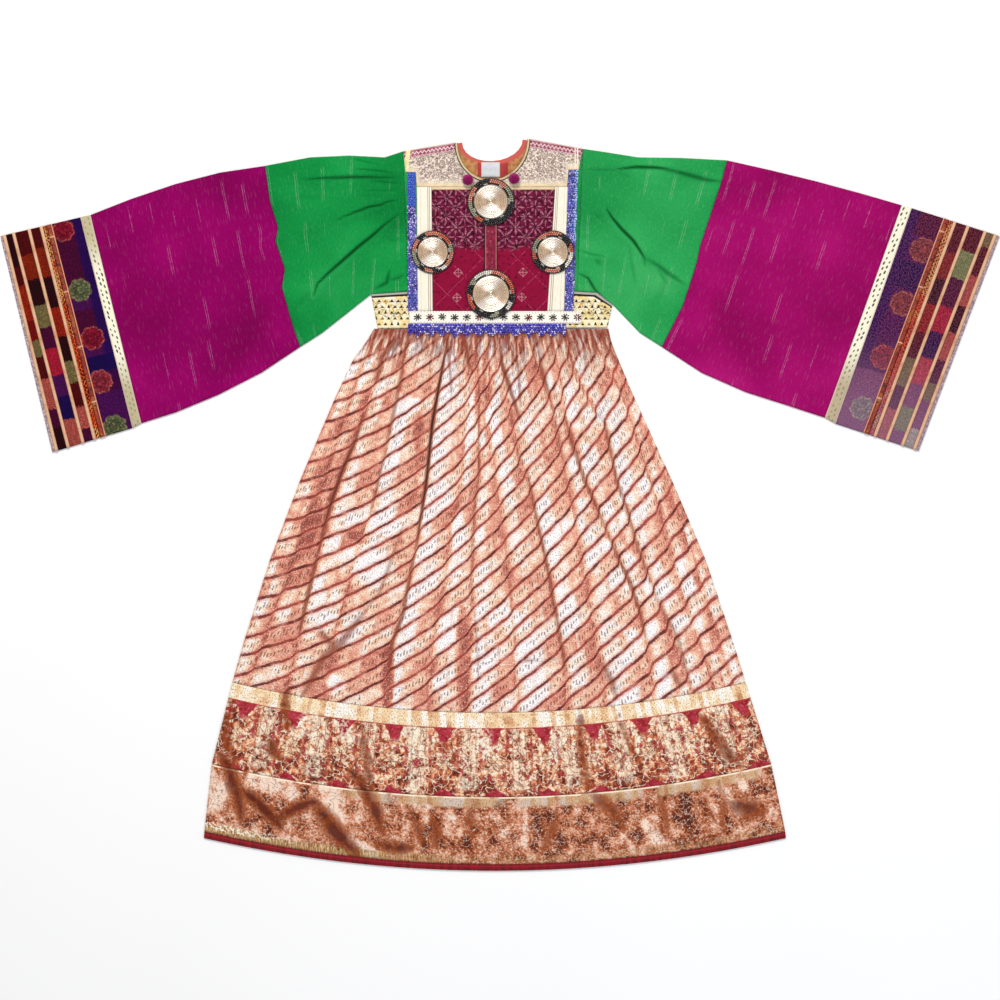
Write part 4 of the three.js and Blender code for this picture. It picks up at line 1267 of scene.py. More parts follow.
def placket_cloth(tree):
    x, y, _ = read_vector(tree, "cloth")
    base = paint("#700426", "#941440", ramp(noise(x, y, 6, 2.0), 0.4, 0.66))
    mark = ramp(blobs(x, y, 9, 2), 0.24, 0.14)
    base = paint(base, "#d06c88", mark * 0.35)
    edge = size_of(x + 15)
    base = paint(base, "#2c0812", inside(edge, 10.2, 0.6, 0.5))
    base = paint(base, "#d09080", inside(edge, 8.6, 0.3, 0.5) * 0.6)
    return base, noise(x, y, 2.0, 2.0, 5) * 0.5, None


def cream_band(tree):
    x, y, side = read_vector(tree, "cloth")
    base = paint("#fbf8ea", "#eee5cc", noise(x * 3, y, 14, 2.0))
    line = most(inside(side, 18.6, 0.35, 0.5), inside(side, 21.4, 0.35, 0.5))
    base = paint(base, "#9c8874", line * 0.85)
    base = paint(base, "#d9ccb2", inside(side, 6.0, 0.3, 0.5) * 0.6)
    return base, weave(x, y, 1.0, 0.15) + noise(x, y, 10, 1.0, 5) * 0.5, None


def flower_trim_print(tree):
    x, y, _ = read_vector(tree, "cloth")
    wave = (noise(x, y * 0.2, 26, 2.0, 4) - 0.5) * 5
    ground = paint("#fffdf6", "#efe6d4", noise(x, y, 10, 2.0))
    pitch = 20.3
    place_across = (x + 146) / pitch
    number = floor(place_across)
    u = (fract(place_across) - 0.5) * pitch
    v = y - 309.5 + wave
    r = length_of(u, v * 1.15)
    spoke = size_of((fract(angle_of(u, v) * (SPOKES / FULL_TURN)) - 0.5) * (FULL_TURN / SPOKES)) * r
    petal = ramp(spoke, 1.5, 0.8) * ramp(r, 7.6, 6.4) * ramp(noise(x, y, 3, 2.0, 9), 0.34, 0.42)
    inks = [(0.0, "#20281e"), (0.25, "#5c0c14"), (0.5, "#1c2420"), (0.75, "#30302a")]
    ink = palette(fract(number * 0.25 + 0.1), inks)
    cloth = paint(ground, ink, petal)
    speck = ramp(length_of(fract(x / 5.1) - 0.5, (size_of(v) - 8.6) / 5.1), 0.2, 0.12)
    cloth = paint(cloth, "#5a5048", speck * 0.6)
    return cloth, petal * 0.35 + weave(x, y, 1.0, 0.1), None


# Patterns on the sleeves

SLUB_ROW = 84
SLUB_SPACING = 38
TRIM_MARK_PITCH = 9.6
TRIM_WIDTH = 18


def slubbed(deep, dark, mid, light, slub_colour, layer):
    """Plain cloth with a crinkled weave, fine fibres and scattered pairs of faint slubs."""
    def make(tree):
        along, across, share = read_vector(tree, "cloth")
        shade = read_number(tree, "shade")
        tone = noise(along, across, 170, 2.0, layer) + (share - 0.5) * 0.12
        cloth = palette(tone, [(0.34, dark), (0.52, mid), (0.68, light)], constant=False)
        crinkle = noise(along * 2.4, across * 0.9, 5, 3.0, layer + 2)
        cloth = paint(cloth, dark, ramp(crinkle, 0.5, 0.7) * 0.3)
        cloth = paint(cloth, light, ramp(crinkle, 0.47, 0.3) * 0.3)
        row = floor(across / SLUB_ROW)
        place_along = along / SLUB_SPACING + dice(row) * 9
        column = floor(place_along)
        luck = dice(column, row)
        u = (fract(place_along) - 0.5) * SLUB_SPACING + (luck - 0.5) * 14
        v = (fract(across / SLUB_ROW) - 0.5) * SLUB_ROW + (dice(row, column) - 0.5) * 24
        pair = least(size_of(u + (crinkle - 0.5) * 4), size_of(u + 4.6 - luck * 2) + ramp(luck, 0.55, 0.5))
        shown = ramp(luck + (noise(along, across, 120, 1.0, layer + 4) - 0.5) * 2.4, 0.25, 0.4)
        slub = ramp(pair, 0.75, 0.25) * ramp(size_of(v), 14 + luck * 26, 8 + luck * 16) * shown
        cloth = paint(cloth, slub_colour, slub * (ramp(crinkle, 0.4, 0.56) * 0.2 + 0.08))
        fibre = noise(along * 5, across * 0.5, 9, 2.0, layer + 7)
        cloth = paint(cloth, slub_colour, ramp(fibre, 0.58, 0.72) * 0.06)
        # Painted shade in the folds
        cloth = paint(cloth, dark, ramp(shade, 0, 0.5) * 0.55)
        cloth = paint(cloth, deep, ramp(shade, 0.3, 0.9) * 0.85)
        height = crinkle * 1.0 + weave(along, across, 1.2, 0.16) + slub * 0.2
        return cloth, height, None
    return make


def dotted_trim(bright, glow_reach, dim):
    """A cream trim with two rows of dark marks, brightest within a reach of one place down its length."""
    def make(tree):
        out, across, _ = read_vector(tree, "cloth")
        base = paint(dim, "#b4a884", noise(out, across, 9, 2.0) * 0.7)
        glow = inside(across, bright, glow_reach, 80)
        base = paint(base, "#fffbe2", glow * 0.9)
        row = across / TRIM_MARK_PITCH
        strokes = []
        for shift, middle in ((0.0, 6.0), (0.5, 12.2)):
            number = floor(row + shift)
            luck = dice(number, shift)
            away = out - middle + (luck - 0.5) * 2.6
            slant = away * 0.7 + (dice(number, shift + 3) - 0.5) * 2.4
            down = (fract(row + shift) - 0.5) * TRIM_MARK_PITCH + slant
            reach = luck * 0.9 + 0.5 + glow * 0.5
            stroke = ramp(length_of(down * 0.75, away * 1.4) - reach, 0.8, 0.0)
            strokes.append(stroke * ramp(luck, 0.08, 0.14))
        mark = reduce(most, strokes)
        base = paint(base, "#241e16", mark * (glow * 0.5 + 0.5) * 0.9)
        base = paint(base, "#f6d8cc", most(ramp(out, 1.6, 1.0), ramp(out, 16.4, 17.0)) * 0.8)
        return base, mark * -0.4 + weave(out, across, 1.1, 0.2), None
    return make


# Cuffs: colours, then the patches down each strip with the distance from the top where each starts,
# and the flowers on the wide strip with their distance down, distance out and radius
CUFF_INKS = {
    "black": "#1c0004", "maroon": "#3a0104", "dark_red": "#580404", "brown": "#701404", "orange": "#641604",
    "tan": "#585030", "plum": "#360024", "indigo": "#100038", "purple": "#36043e", "red": "#861026",
    "pink": "#8c2a36", "salmon": "#883c36", "mauve": "#602e54", "green": "#5c6842", "pale": "#84867a",
}
CUFF_OUTLINE = "#12000c"
LEFT_CUFF_STRIPS = [
    [(0, "plum"), (60, "plum"), (112, "purple"), (150, "plum"), (185, "purple"), (228, "indigo"),
     (256, "plum"), (290, "purple")],
    [(0, "dark_red"), (60, "brown"), (120, "dark_red"), (190, "brown"), (240, "maroon"),
     (300, "brown")],
    [(0, "maroon"), (34, "orange"), (83, "black"), (135, "brown"), (184, "black"), (226, "tan"),
     (263, "maroon"), (303, "salmon"), (341, "plum")],
    [(0, "maroon"), (40, "orange"), (82, "black"), (125, "tan"), (163, "plum"), (200, "red"),
     (245, "purple"), (280, "indigo"), (320, "salmon")],
    [(0, "black"), (55, "maroon"), (86, "brown"), (147, "dark_red"), (179, "tan"), (209, "maroon"),
     (246, "salmon"), (297, "plum"), (328, "black")],
]
RIGHT_CUFF_STRIPS = [
    [(0, "plum"), (40, "purple"), (84, "indigo"), (130, "purple"), (215, "purple"), (275, "mauve")],
    [(0, "brown"), (60, "dark_red"), (110, "brown"), (180, "dark_red"), (240, "brown"),
     (320, "dark_red")],
    [(0, "maroon"), (50, "orange"), (95, "black"), (140, "brown"), (190, "maroon"), (235, "tan"),
     (285, "plum"), (325, "salmon")],
    [(0, "maroon"), (40, "green"), (88, "plum"), (138, "red"), (183, "indigo"), (228, "pink"),
     (275, "mauve"), (315, "green"), (355, "mauve")],
    [(0, "tan"), (25, "maroon"), (75, "salmon"), (128, "black"), (175, "salmon"), (225, "plum"),
     (265, "tan"), (295, "mauve"), (345, "pale")],
]
LEFT_CUFF_FLOWERS = [
    (15, 33, 19, "red"), (117, 29, 19, "green"), (199, 28, 20, "red"), (272, 32, 20, "pink"),
    (350, 27, 20, "green"),
]
RIGHT_CUFF_FLOWERS = [
    (61, 39, 21, "salmon"), (155, 38, 21, "salmon"), (249, 37, 21, "pink"), (340, 33, 20, "pale"),
]
CUFF_LENGTH = 385
CUFF_LINE_LENGTH = 375


def cuff_print(strips, flowers, washed):
    """Printed cloth in patches. washed is how pale it grows towards its low end."""
    def make(tree):
        strip, across, out = read_vector(tree, "cloth")
        soft = (noise(across, out, 7, 2.0) - 0.5) * 6 + (noise(across, out, 3.0, 1.0, 31) - 0.5) * 9
        number = floor(strip)
        wide = ramp(number, 0.6, 0.4)
        ragged = across + soft
        cloth = paint("#b0a0a6", "#8a7c84", ramp(noise(across, out, 5, 2.0, 7), 0.4, 0.6))
        for i, patches in enumerate(strips):
            stops = [(start / CUFF_LENGTH, CUFF_INKS[ink]) for start, ink in patches]
            cloth = paint(cloth, palette(ragged / CUFF_LENGTH, stops), inside(number, i, 0.4, 0.1))
        # Beside the trim the wide strip is indigo all the way down
        near_trim = ramp(out + soft, 19, 12) * ramp(across, 330, 200)
        cloth = paint(cloth, "#120040", near_trim * 0.85)
        stitch = noise(across, out, 2.6, 3.0, 4)
        knots = blobs(across, out, 5.0, 6)
        curls = inside(knots, 0.42, 0.07, 0.12)
        for down, from_seam, radius, ink in flowers:
            u, v = out - from_seam, across - down
            r = length_of(u, v) + size_of(sine(angle_of(u, v) * 4)) * -2.6 + 1.4 + (stitch - 0.5) * 7
            petal = paint(CUFF_INKS[ink], CUFF_OUTLINE, ramp(knots, 0.2, 0.5) * 0.55)
            petal = paint(petal, CUFF_OUTLINE, inside(r, radius * 0.42, 0.6, 1.6) * 0.4)
            cloth = paint(cloth, petal, ramp(r, radius + 0.4, radius - 1.0) * wide * 0.95)
            rim_light = inside(r, radius - 1.8, 0.7, 1.2) * wide
            cloth = paint(cloth, "#f0b0a0", rim_light * ramp(stitch, 0.42, 0.55) * 0.12)
        cloth = paint(cloth, "#ffffff", curls * 0.3 + ramp(stitch, 0.55, 0.68) * 0.3, "OVERLAY")
        cloth = paint(cloth, "#ffe8dc", scrolls(across, out, 5.5, 33) * 0.9, "OVERLAY")
        # The braid's stitches run on between it and the first piping
        knot = length_of((fract(across / 7) - 0.5) * 5, (fract(out / 6) - 0.5) * 6)
        sewn = inside(knot, 1.9, 0.4, 0.6) * inside(number, 1, 0.4, 0.1) * ramp(stitch, 0.4, 0.5)
        thread = paint("#e05a24", "#e8b468", ramp(noise(across, out, 40, 1.0, 8), 0.45, 0.6))
        cloth = paint(cloth, thread, sewn * 0.9)
        cloth = paint(cloth, "#0c0008", ramp(stitch, 0.46, 0.32) * 0.4)
        cloth = paint(cloth, "#a45c78", washed * 0.8 * ramp(stitch, 0.4, 0.6))
        cloth = paint(cloth, "#947c98", ramp(across, 190, 380) * washed)
        return cloth, stitch * 0.7 + curls * 0.4, None
    return make


def gold_braid(tree):
    across, out, _ = read_vector(tree, "cloth")
    tone = noise(across, out * 0.2, 38, 2.0, 2)
    ground = paint("#5a0406", "#84200a", ramp(tone, 0.45, 0.6))
    threads = [(0.36, "#942010"), (0.5, "#ac3c14"), (0.62, "#b46a30"), (0.74, "#ac8440")]
    thread = palette(tone, threads, constant=False)
    link = (fract(across / 9.5 + (out - 4) * 0.03) - 0.5) * 9.5
    loop = length_of(link * 0.62, (out - 4.0) * 1.1)
    chain = most(inside(loop, 2.5, 0.45, 0.6), inside(loop, 0.9, 0.35, 0.5))
    base = paint(ground, thread, chain * ramp(noise(across, out, 5, 2.0, 9), 0.36, 0.46))
    base = paint(base, "#2c0406", ramp(noise(across, out * 0.3, 13, 1.0, 5), 0.6, 0.66) * 0.7)
    edge = ramp(out, 7.9, 8.5)
    base = paint(base, "#4c0a0c", inside(out, 7.8, 0.35, 0.5) * 0.8)
    base = paint(base, paint("#f2b088", "#e07a50", noise(across, out, 14, 1.0, 6)), edge)
    tie = inside(fract(across / 97) * 97, 22, 0.8, 0.8)
    base = paint(base, "#f0b898", tie * 0.8)
    return base, chain * 0.7 + edge * 0.5 + tie * 0.5, None


def peach_piping(tree):
    across, out, _ = read_vector(tree, "cloth")
    base = paint("#e4ba94", "#cc9470", ramp(noise(across, out, 22, 2.0), 0.4, 0.7))
    base = paint(base, "#b8705a", most(ramp(out, 0.9, 0.4), ramp(out, 5.1, 5.6)) * 0.7)
    twist = sine((across + out * 1.2) * (FULL_TURN / 2.4)) * 0.5 + 0.5
    return paint(base, "#d08c68", twist * 0.25), twist * 0.25, None


def neck_cord_cloth(tree):
    along, out, _ = read_vector(tree, "cloth")
    base = paint("#f3dcb8", "#d9b184", noise(along, out, 5, 2.0))
    base = paint(base, "#1e0d12", ramp(out, 3.4, 4.0))
    base = paint(base, "#c9705c", ramp(out, 0.9, 0.5) * 0.7)
    return base, sine((along + out) * (FULL_TURN / 2.2)) * 0.2, None


# Metal, beads and wool

def tinted(tree):
    """The colour that each bead was given."""
    node = read(tree, "tint")
    x, y, _ = read_vector(tree, "cloth")
    base = Term(tree, node.outputs["Color"])
    return paint(base, "#ffffff", ramp(noise(x, y, 3, 1.0), 0.55, 0.75) * 0.12), None, None


def engraved_metal(tree):
    """Pale metal turned in fine rings, with a painted highlight towards the top and the foot of each disc and
    tan at its sides.
    """
    x, y, size = read_vector(tree, "cloth")
    turn = angle_of(x, y)
    radius = length_of(x, y)
    share = radius / size
    rings = sine(radius * (FULL_TURN / 2.6))
    sectors = noise(sine(turn) * 3.2, sine(turn + math.pi / 2) * 3.2, 1.6, 3.0, 3)
    # Painted highlight: the rings' sheen, pale towards the top and the foot, tan at the sides
    glow = ramp(size_of(sine(turn)) + (sectors - 0.5) * 1.3, 0.3, 0.95)
    base = paint("#e6caac", "#fff6ea", glow)
    base = paint(base, "#a87c5c", ramp(rings, 0.2, 0.9) * ramp(sectors, 0.62, 0.4) * 0.6)
    dashes = ramp(sine(turn * 36), 0.1, 0.5) * ramp(rings, 0.2, 0.7)
    base = paint(base, "#7c5a40", dashes * 0.35)
    base = paint(base, "#4c382a", ramp(share, 0.965, 0.99) * 0.7)
    return base, rings * 0.3 + dashes * -0.3, 0.3 + ramp(sectors, 0.4, 0.7) * 0.2


def magenta_wool(tree):
    x, y, z = read_vector(tree, "cloth")
    # Painted shade: darker towards the pompom's core, paler towards the tips of the locks
    base = paint("#70003e", "#ac0870", ramp(z, 0.3, 1.0))
    return paint(base, "#e04898", ramp(noise(x, y, 2.2, 2.0), 0.55, 0.75) * 0.4), None, None


SKIRT_LOOK = material("skirt_stripes", brocade_stripes, metallic=0.15, specular=0.35)
BORDER_LOOK = material("border_brocade", brocade_border, metallic=0.12, specular=0.22)
FLOUNCE_LOOK = material("flounce_brocade", brocade_flounce, metallic=0.12, specular=0.22)
BINDING_LOOK = material("red_binding", red_binding, roughness=0.75, sheen=0.2)
WAISTBAND_LOOK = material("waistband_print", waistband_print, roughness=0.85)
LINING_LOOK = material("striped_lining", striped_lining, roughness=0.85)
PATCH_LOOK = material("pale_patch", pale_patch, roughness=0.85)
YOKE_LOOK = material("yoke_embroidery", yoke_embroidery, specular=0.3)
VELVET_LOOK = material("star_velvet", star_velvet, roughness=0.85, sheen=0.12, specular=0.15)
PLACKET_LOOK = material("placket_cloth", placket_cloth, roughness=0.7, sheen=0.2)
BAND_LOOK = material("cream_band", cream_band, roughness=0.8)
FLOWER_LOOK = material("flower_trim", flower_trim_print, roughness=0.8)
GREEN_COTTON = {
    "left": slubbed("#01300c", "#047a34", "#129244", "#2ca456", "#a4dcb4", 2),
    "right": slubbed("#01380f", "#188c44", "#2aa254", "#4cb668", "#b4e4c0", 2),
}
MAGENTA_COTTON = {
    "left": slubbed("#34001e", "#7a004c", "#8e005c", "#a00468", "#e0a0cc", 5),
    "right": slubbed("#40022c", "#8c0454", "#a00864", "#b01470", "#e8b0d4", 5),
}
DOTTED_TRIM = {
    "left": dotted_trim(165, 60, "#c8bc96"),
    "right": dotted_trim(110, 130, "#c4b294"),
}
CUFF_PRINT = {
    "left": cuff_print(LEFT_CUFF_STRIPS, LEFT_CUFF_FLOWERS, 0.0),
    "right": cuff_print(RIGHT_CUFF_STRIPS, RIGHT_CUFF_FLOWERS, 0.32),
}


def for_both_sides(name, patterns, **finish):
    return {side: material(f"{name}_{side}", make, **finish) for side, make in patterns.items()}


GREEN_LOOKS = for_both_sides("green_cotton", GREEN_COTTON, roughness=0.9, specular=0.08)
MAGENTA_LOOKS = for_both_sides("magenta_cotton", MAGENTA_COTTON, roughness=0.9, specular=0.06)
TRIM_LOOKS = for_both_sides("dotted_trim", DOTTED_TRIM, roughness=0.8)
CUFF_LOOKS = for_both_sides("cuff_print", CUFF_PRINT, roughness=0.85, specular=0.1)
BRAID_LOOK = material("gold_braid", gold_braid, roughness=0.5, specular=0.5)
PIPING_LOOK = material("peach_piping", peach_piping, roughness=0.6)
NECK_CORD_LOOK = material("neck_cord", neck_cord_cloth, roughness=0.7)
BEAD_LOOK = material("glass_beads", tinted, roughness=0.22, specular=0.6, coat=0.3)
METAL_LOOK = material("engraved_metal", engraved_metal, metallic=0.7, specular=0.6)
WOOL_LOOK = material("magenta_wool", magenta_wool, roughness=0.9, sheen=0.4)


# Skirt

def binding_pattern(a, b, x, y):
    return a * BINDING_LENGTH, b, np.zeros_like(a)


UPPER_FIELDS = {"shade": skirt_shade, "light": skirt_light, "column": skirt_column, "breakup_and_light": waist_breakup_and_light}
LOWER_FIELDS = {"shade": skirt_shade, "light": lower_light}
# Each cut: name, look, slot, its upper and lower seam, pattern, grid of the front and of the back, fields,
# how many times wider it is cut than it lies, and how it is held
SKIRT_CUTS = [
    ("skirt", SKIRT_LOOK, "skirt_brocade", WAIST, BORDER, skirt_cloth,
     (240, 160), (120, 80), UPPER_FIELDS, 1.3, "gathered"),
    ("skirt_border", BORDER_LOOK, "border_brocade", BORDER, FLOUNCE, band_cloth(BORDER),
     (220, 40), (80, 12), LOWER_FIELDS, 1.05, "laid"),
    ("skirt_flounce", FLOUNCE_LOOK, "flounce_brocade", FLOUNCE, BINDING, band_cloth(FLOUNCE),
     (220, 30), (80, 10), LOWER_FIELDS, 1.05, "laid"),
    ("hem_binding", BINDING_LOOK, "hem_binding", BINDING, HEM, binding_pattern,
     (220, 5), (80, 3), {}, 1.0, "laid"),
]


def add_skirt():
    for name, look, slot, start, end, cloth, front, back, fields, fullness, held in SKIRT_CUTS:
        def plan(a, b, start=start, end=end):
            return skirt_point(a, mix(start, end, b))
        made = shell(f"{name}_front_cloth", look, plan, *front, visible_low, cloth=cloth, extra=fields)
        place(made, slot, f"{name}_front")
        under = shell(f"{name}_back_cloth", look, plan, *back, back_low, cloth=cloth, extra=fields)
        place(under, slot, f"{name}_back")
        lay(under, fullness)
        lay(made, fullness)


# Bodice

def bodice_top(neck, grow=0.0, count=NECK_STEPS + 1):
    line = neck_line(neck, grow, count)
    left = evenly(4, LEFT_SHOULDER, line[0])[:3]
    right = evenly(4, line[-1], RIGHT_SHOULDER)[1:]
    return [*left, *line, *right]


def add_bodice():
    front = bodice_top(NECK)
    back = bodice_top(BACK_NECK)
    low_left, low_right = (-150, WAIST_TOP), (127, WAIST_TOP)
    back_plan = between(back, evenly(len(back), low_left, low_right))
    under = shell("bodice_back_cloth", LINING_LOOK, back_plan, 54, 40, back_low)
    place(under, "striped_lining", "bodice_back")
    front_plan = between(front, evenly(len(front), low_left, low_right))
    top = shell("bodice_front_cloth", GREEN_LOOKS["right"], front_plan, 54, 40, front_low)
    place(top, "green_cotton", "bodice_front")
    patch = shell("neck_patch_cloth", PATCH_LOOK, between(*NECK_PATCH), 12, 10,
                  lambda x, y: np.full(np.shape(x), CLOTH + SEAM), wall=PATCH_CLOTH)
    place(patch, "patch_cotton", "neck_patch")

    def band_pattern(a, b, x, y):
        return x, y, b
    bands = []
    foot = evenly(len(WAISTBAND_TOP), *WAISTBAND_FOOT)
    for side, low, steps in (("front", front_low, (110, 18)), ("back", back_low, (60, 8))):
        made = shell(f"waistband_{side}_cloth", WAISTBAND_LOOK, between(WAISTBAND_TOP, foot), *steps, low,
                     cloth=band_pattern)
        place(made, "waistband_print", f"waistband_{side}")
        bands.append(made)
    return top, under, patch, bands


def strip_plan(name):
    top, left, right, low, low_left, low_right, _ = STRIPS[name]
    return between(evenly(3, (left, top), (right, top)), evenly(3, (low_left, low), (low_right, low)))


def on_panel(lift=0.0):
    return lambda x, y: front_low(x, y) + CLOTH + SEAM + lift


def rounded(flat):
    """A cord's crown: full along its middle, and that share of it at its edges."""
    return lambda a, b: flat + (1 - flat) * np.sqrt(np.maximum(1 - (2 * b - 1) ** 2, 0))


def add_front_panel():
    made = []
    top = bodice_top(NECK, NECK_CORD, 25)
    base = [
        (-156, 549),
        (-139.5, 549),
        *evenly(len(top) - 4, (-137.5, 525), (111, 525)),
        (113, 553),
        (130, 553),
    ]

    def yoke_pattern(a, b, x, y):
        _, low_y = rail(base, a)
        return x, np.interp(x, *SHOULDER_LINE) - y, y - low_y
    yoke = shell("yoke_cloth", YOKE_LOOK, between(top, base), 90, 30, on_panel(), wall=APPLIQUE,
                 cloth=yoke_pattern)
    made.append(place(yoke, "yoke_embroidery", "yoke"))

    inner = neck_line(NECK, SEAM, 49)
    outer = neck_line(NECK, NECK_CORD - SEAM, 49)

    def cord_pattern(a, b, x, y):
        return a * NECK_CORD_LENGTH, b * NECK_CORD, np.zeros_like(a)
    cord = shell("neck_binding_cord", NECK_CORD_LOOK, between(inner, outer), 120, 8, on_panel(),
                 wall=CORD + 0.9, crown=rounded(0.35), cloth=cord_pattern)
    made.append(place(cord, "neck_cord", "neck_binding"))

    plain = [
        ("velvet_panel", VELVET_LOOK, "velvet", (60, 60), APPLIQUE),
        ("flower_trim", FLOWER_LOOK, "flower_trim", (90, 8), APPLIQUE),
        ("placket", PLACKET_LOOK, "placket", (14, 60), CLOTH),
    ]
    for name, look, slot, steps, wall in plain:
        piece = shell(f"{name}_cloth", look, strip_plan(name), *steps, on_panel(STRIPS[name][-1]), wall=wall)
        made.append(place(piece, slot, name))
    for name, outer_first in (("side_band_left", True), ("side_band_right", False)):
        def band_pattern(a, b, x, y, outer_first=outer_first):
            return x, y, (a if outer_first else 1 - a) * SIDE_BAND
        piece = shell(f"{name}_cloth", BAND_LOOK, strip_plan(name), 14, 60, on_panel(), wall=APPLIQUE,
                      cloth=band_pattern)
        made.append(place(piece, "side_band", name))
    return made


# Beads

def ball(divisions=1):
    """Points and triangles of a small ball: a halved octahedron."""
    corners = ((1, 0, 0), (-1, 0, 0), (0, 1, 0), (0, -1, 0), (0, 0, 1), (0, 0, -1))
    points = [np.array(p, float) for p in corners]
    faces = [(0, 2, 4), (2, 1, 4), (1, 3, 4), (3, 0, 4), (2, 0, 5), (1, 2, 5), (3, 1, 5), (0, 3, 5)]
    for _ in range(divisions):
        halves = {}
        finer = []

        def half(i, j):
            key = (min(i, j), max(i, j))
            if key not in halves:
                middle = points[i] + points[j]
                halves[key] = len(points)
                points.append(middle / np.linalg.norm(middle))
            return halves[key]
        for a, b, c in faces:
            ab, bc, ca = half(a, b), half(b, c), half(c, a)
            finer += [(a, ab, ca), (ab, b, bc), (ca, bc, c), (ab, bc, ca)]
        faces = finer
    return np.array(points), np.array(faces)


BALL_POINTS, BALL_FACES = ball()


def bead_cloud(name, centres, radii, tints, material_used, base=None):
    """Many beads as one mesh. base is (points, faces, tint) of a backing that they are sewn to."""
    count = len(centres)
    balls = BALL_POINTS[None] * np.asarray(radii)[:, None, None]
    points = (np.asarray(centres)[:, None] + balls).reshape(-1, 3)
    faces = (BALL_FACES[None] + (np.arange(count) * len(BALL_POINTS))[:, None, None]).reshape(-1, 3)
    shades = np.repeat(np.asarray(tints), len(BALL_POINTS), axis=0)
    if base is not None:
        base_points, base_faces, tint = base
        faces = [*faces.tolist(), *(np.asarray(base_faces) + len(points)).tolist()]
        points = np.concatenate([points, base_points])
        shades = np.concatenate([shades, np.tile(tint, (len(base_points), 1))])
    made = new_object(name, points, faces, material_used, {"cloth": points.copy()})
    layer = made.data.color_attributes.new("tint", "FLOAT_COLOR", "POINT")
    layer.data.foreach_set("color", np.hstack([shades, np.ones((len(shades), 1))]).astype(np.float32).ravel())
    return made


def tint(code):
    return np.array(colour(code)[:3])


def backing(plan, across, along, low, wall):
    """Points and faces of a thin strip under beads."""
    a, b = grid(across, along)
    x, y = draw_in(*plan(a, b))
    under = low(x, y)
    return two_sides(x, y, under + wall, under), shell_faces(*x.shape, flip=True)


BLUES = ["#2c4cb4", "#4a5cc8", "#6c74d4", "#8a7ad0", "#a79adc", "#d4cef0", "#4a3aa4", "#2a2458", "#7a6ac4"]
FRINGE_TINTS = ["#3a34b0", "#5448c4", "#7c6ad4", "#d8d4f4", "#4a2a98", "#2c3ec0"]
BEAD_SIZE = 1.6
FRINGE_PITCH = 2.9


def add_bead_edges(rng):
    made = []
    for name in ("bead_edge_left", "bead_edge_right"):
        top, _, _, low, _, _, lift = STRIPS[name]
        plan = strip_plan(name)
        seat = on_panel(lift)
        columns = 6
        rows = int((top - low) / (BEAD_SIZE * 1.75))
        a, b = np.meshgrid((np.arange(columns) + 0.5) / columns, (np.arange(rows) + 0.5) / rows)
        sway = 0.08 * np.sin(b * 41) + 0.05 * np.sin(b * 97 + 1)
        a = np.clip(a + rng.uniform(-0.05, 0.05, a.shape) + sway, 0.03, 0.97).ravel()
        b = (b + rng.uniform(-0.3, 0.3, b.shape) / rows).ravel()
        x, y = plan(a, np.clip(b, 0.004, 0.996))
        z = seat(x, y) + 0.6 + BEAD_SIZE * rng.uniform(0.5, 0.95, len(x))
        solid = (b < 0.24) if name.endswith("left") else (a > 0.72) & (b < 0.5)
        pick = rng.integers(0, len(BLUES), len(x))
        tints = np.array([tint(BLUES[i]) for i in pick])
        tints[solid] = tint("#2f62d0") if name.endswith("left") else tint("#9ec4ec")
        strip = backing(plan, 4, 60, seat, 0.8)
        centres = np.stack([x, y, z], -1)
        piece = bead_cloud(f"{name}_beads", centres, np.full(len(x), BEAD_SIZE * 0.92), tints, BEAD_LOOK,
                           (*strip, tint("#5a58b0")))
        made.append(place(piece, "blue_beads", name))
    return made


def add_fringe(rng):
    """Loops of small beads that hang from the flower trim, unevenly long."""
    top, left, right, low, _, _, lift = STRIPS["bead_fringe"]
    seat = on_panel(lift)
    centres = []
    tints = []
    for i in range(int((right - left) / FRINGE_PITCH)):
        x0 = left + (i + 0.5) * FRINGE_PITCH
        longest = low - 4 + 3.5 * math.sin(0.9 * i) + rng.uniform(-1.5, 1.5)
        y = top - 1.8
        while y > longest:
            x = x0 + rng.uniform(-0.9, 0.9)
            centres.append((x, y, float(seat(np.array(x), np.array(y))) + 0.5 + BEAD_SIZE))
            tints.append(tint(FRINGE_TINTS[rng.integers(0, len(FRINGE_TINTS))]))
            y -= BEAD_SIZE * 1.8
    strip = backing(strip_plan("bead_fringe"), 60, 2, seat, 0.7)
    sizes = np.full(len(centres), BEAD_SIZE * 0.95)
    piece = bead_cloud("bead_fringe_beads", centres, sizes, tints, BEAD_LOOK, (*strip, tint("#4438a0")))
    return place(piece, "blue_beads", "bead_fringe")


# Colours round each medallion's rim, in equal steps from its right side, anticlockwise
RIM_INKS = {
    "green": "#9a9c80", "salmon": "#d8866c", "orange": "#cc5c3c", "black": "#0e0a0e", "white": "#ece6da",
}
RIM_COLOURS = {
    # The black steps at the top medallion's lower right are partly black beads and partly painted shadow.
    "top": "green green salmon salmon black black salmon salmon "
           "green green orange black black black black black",
    "left": "green orange orange salmon salmon black salmon salmon "
            "green green black salmon black white salmon salmon",
    "right": "orange black black salmon orange salmon green green "
             "orange black black salmon salmon black white white",
    "bottom": "orange orange salmon salmon white white green black "
              "orange orange black black green black white black",
}
RIM_SEGMENTS = 72
DISC_SEGMENTS = 96
DISC_RINGS = 44


def ring_of_beads(x, y, z, radius, size, colours):
    count = max(8, int(FULL_TURN * radius / (size * 1.9)))
    turn = (np.arange(count) + 0.5) / count
    across = radius * np.cos(FULL_TURN * turn)
    up = radius * np.sin(FULL_TURN * turn)
    centres = np.stack([x + across, y + up, np.full(count, z)], -1)
    return centres, np.full(count, size), [colours(t, i) for i, t in enumerate(turn)]


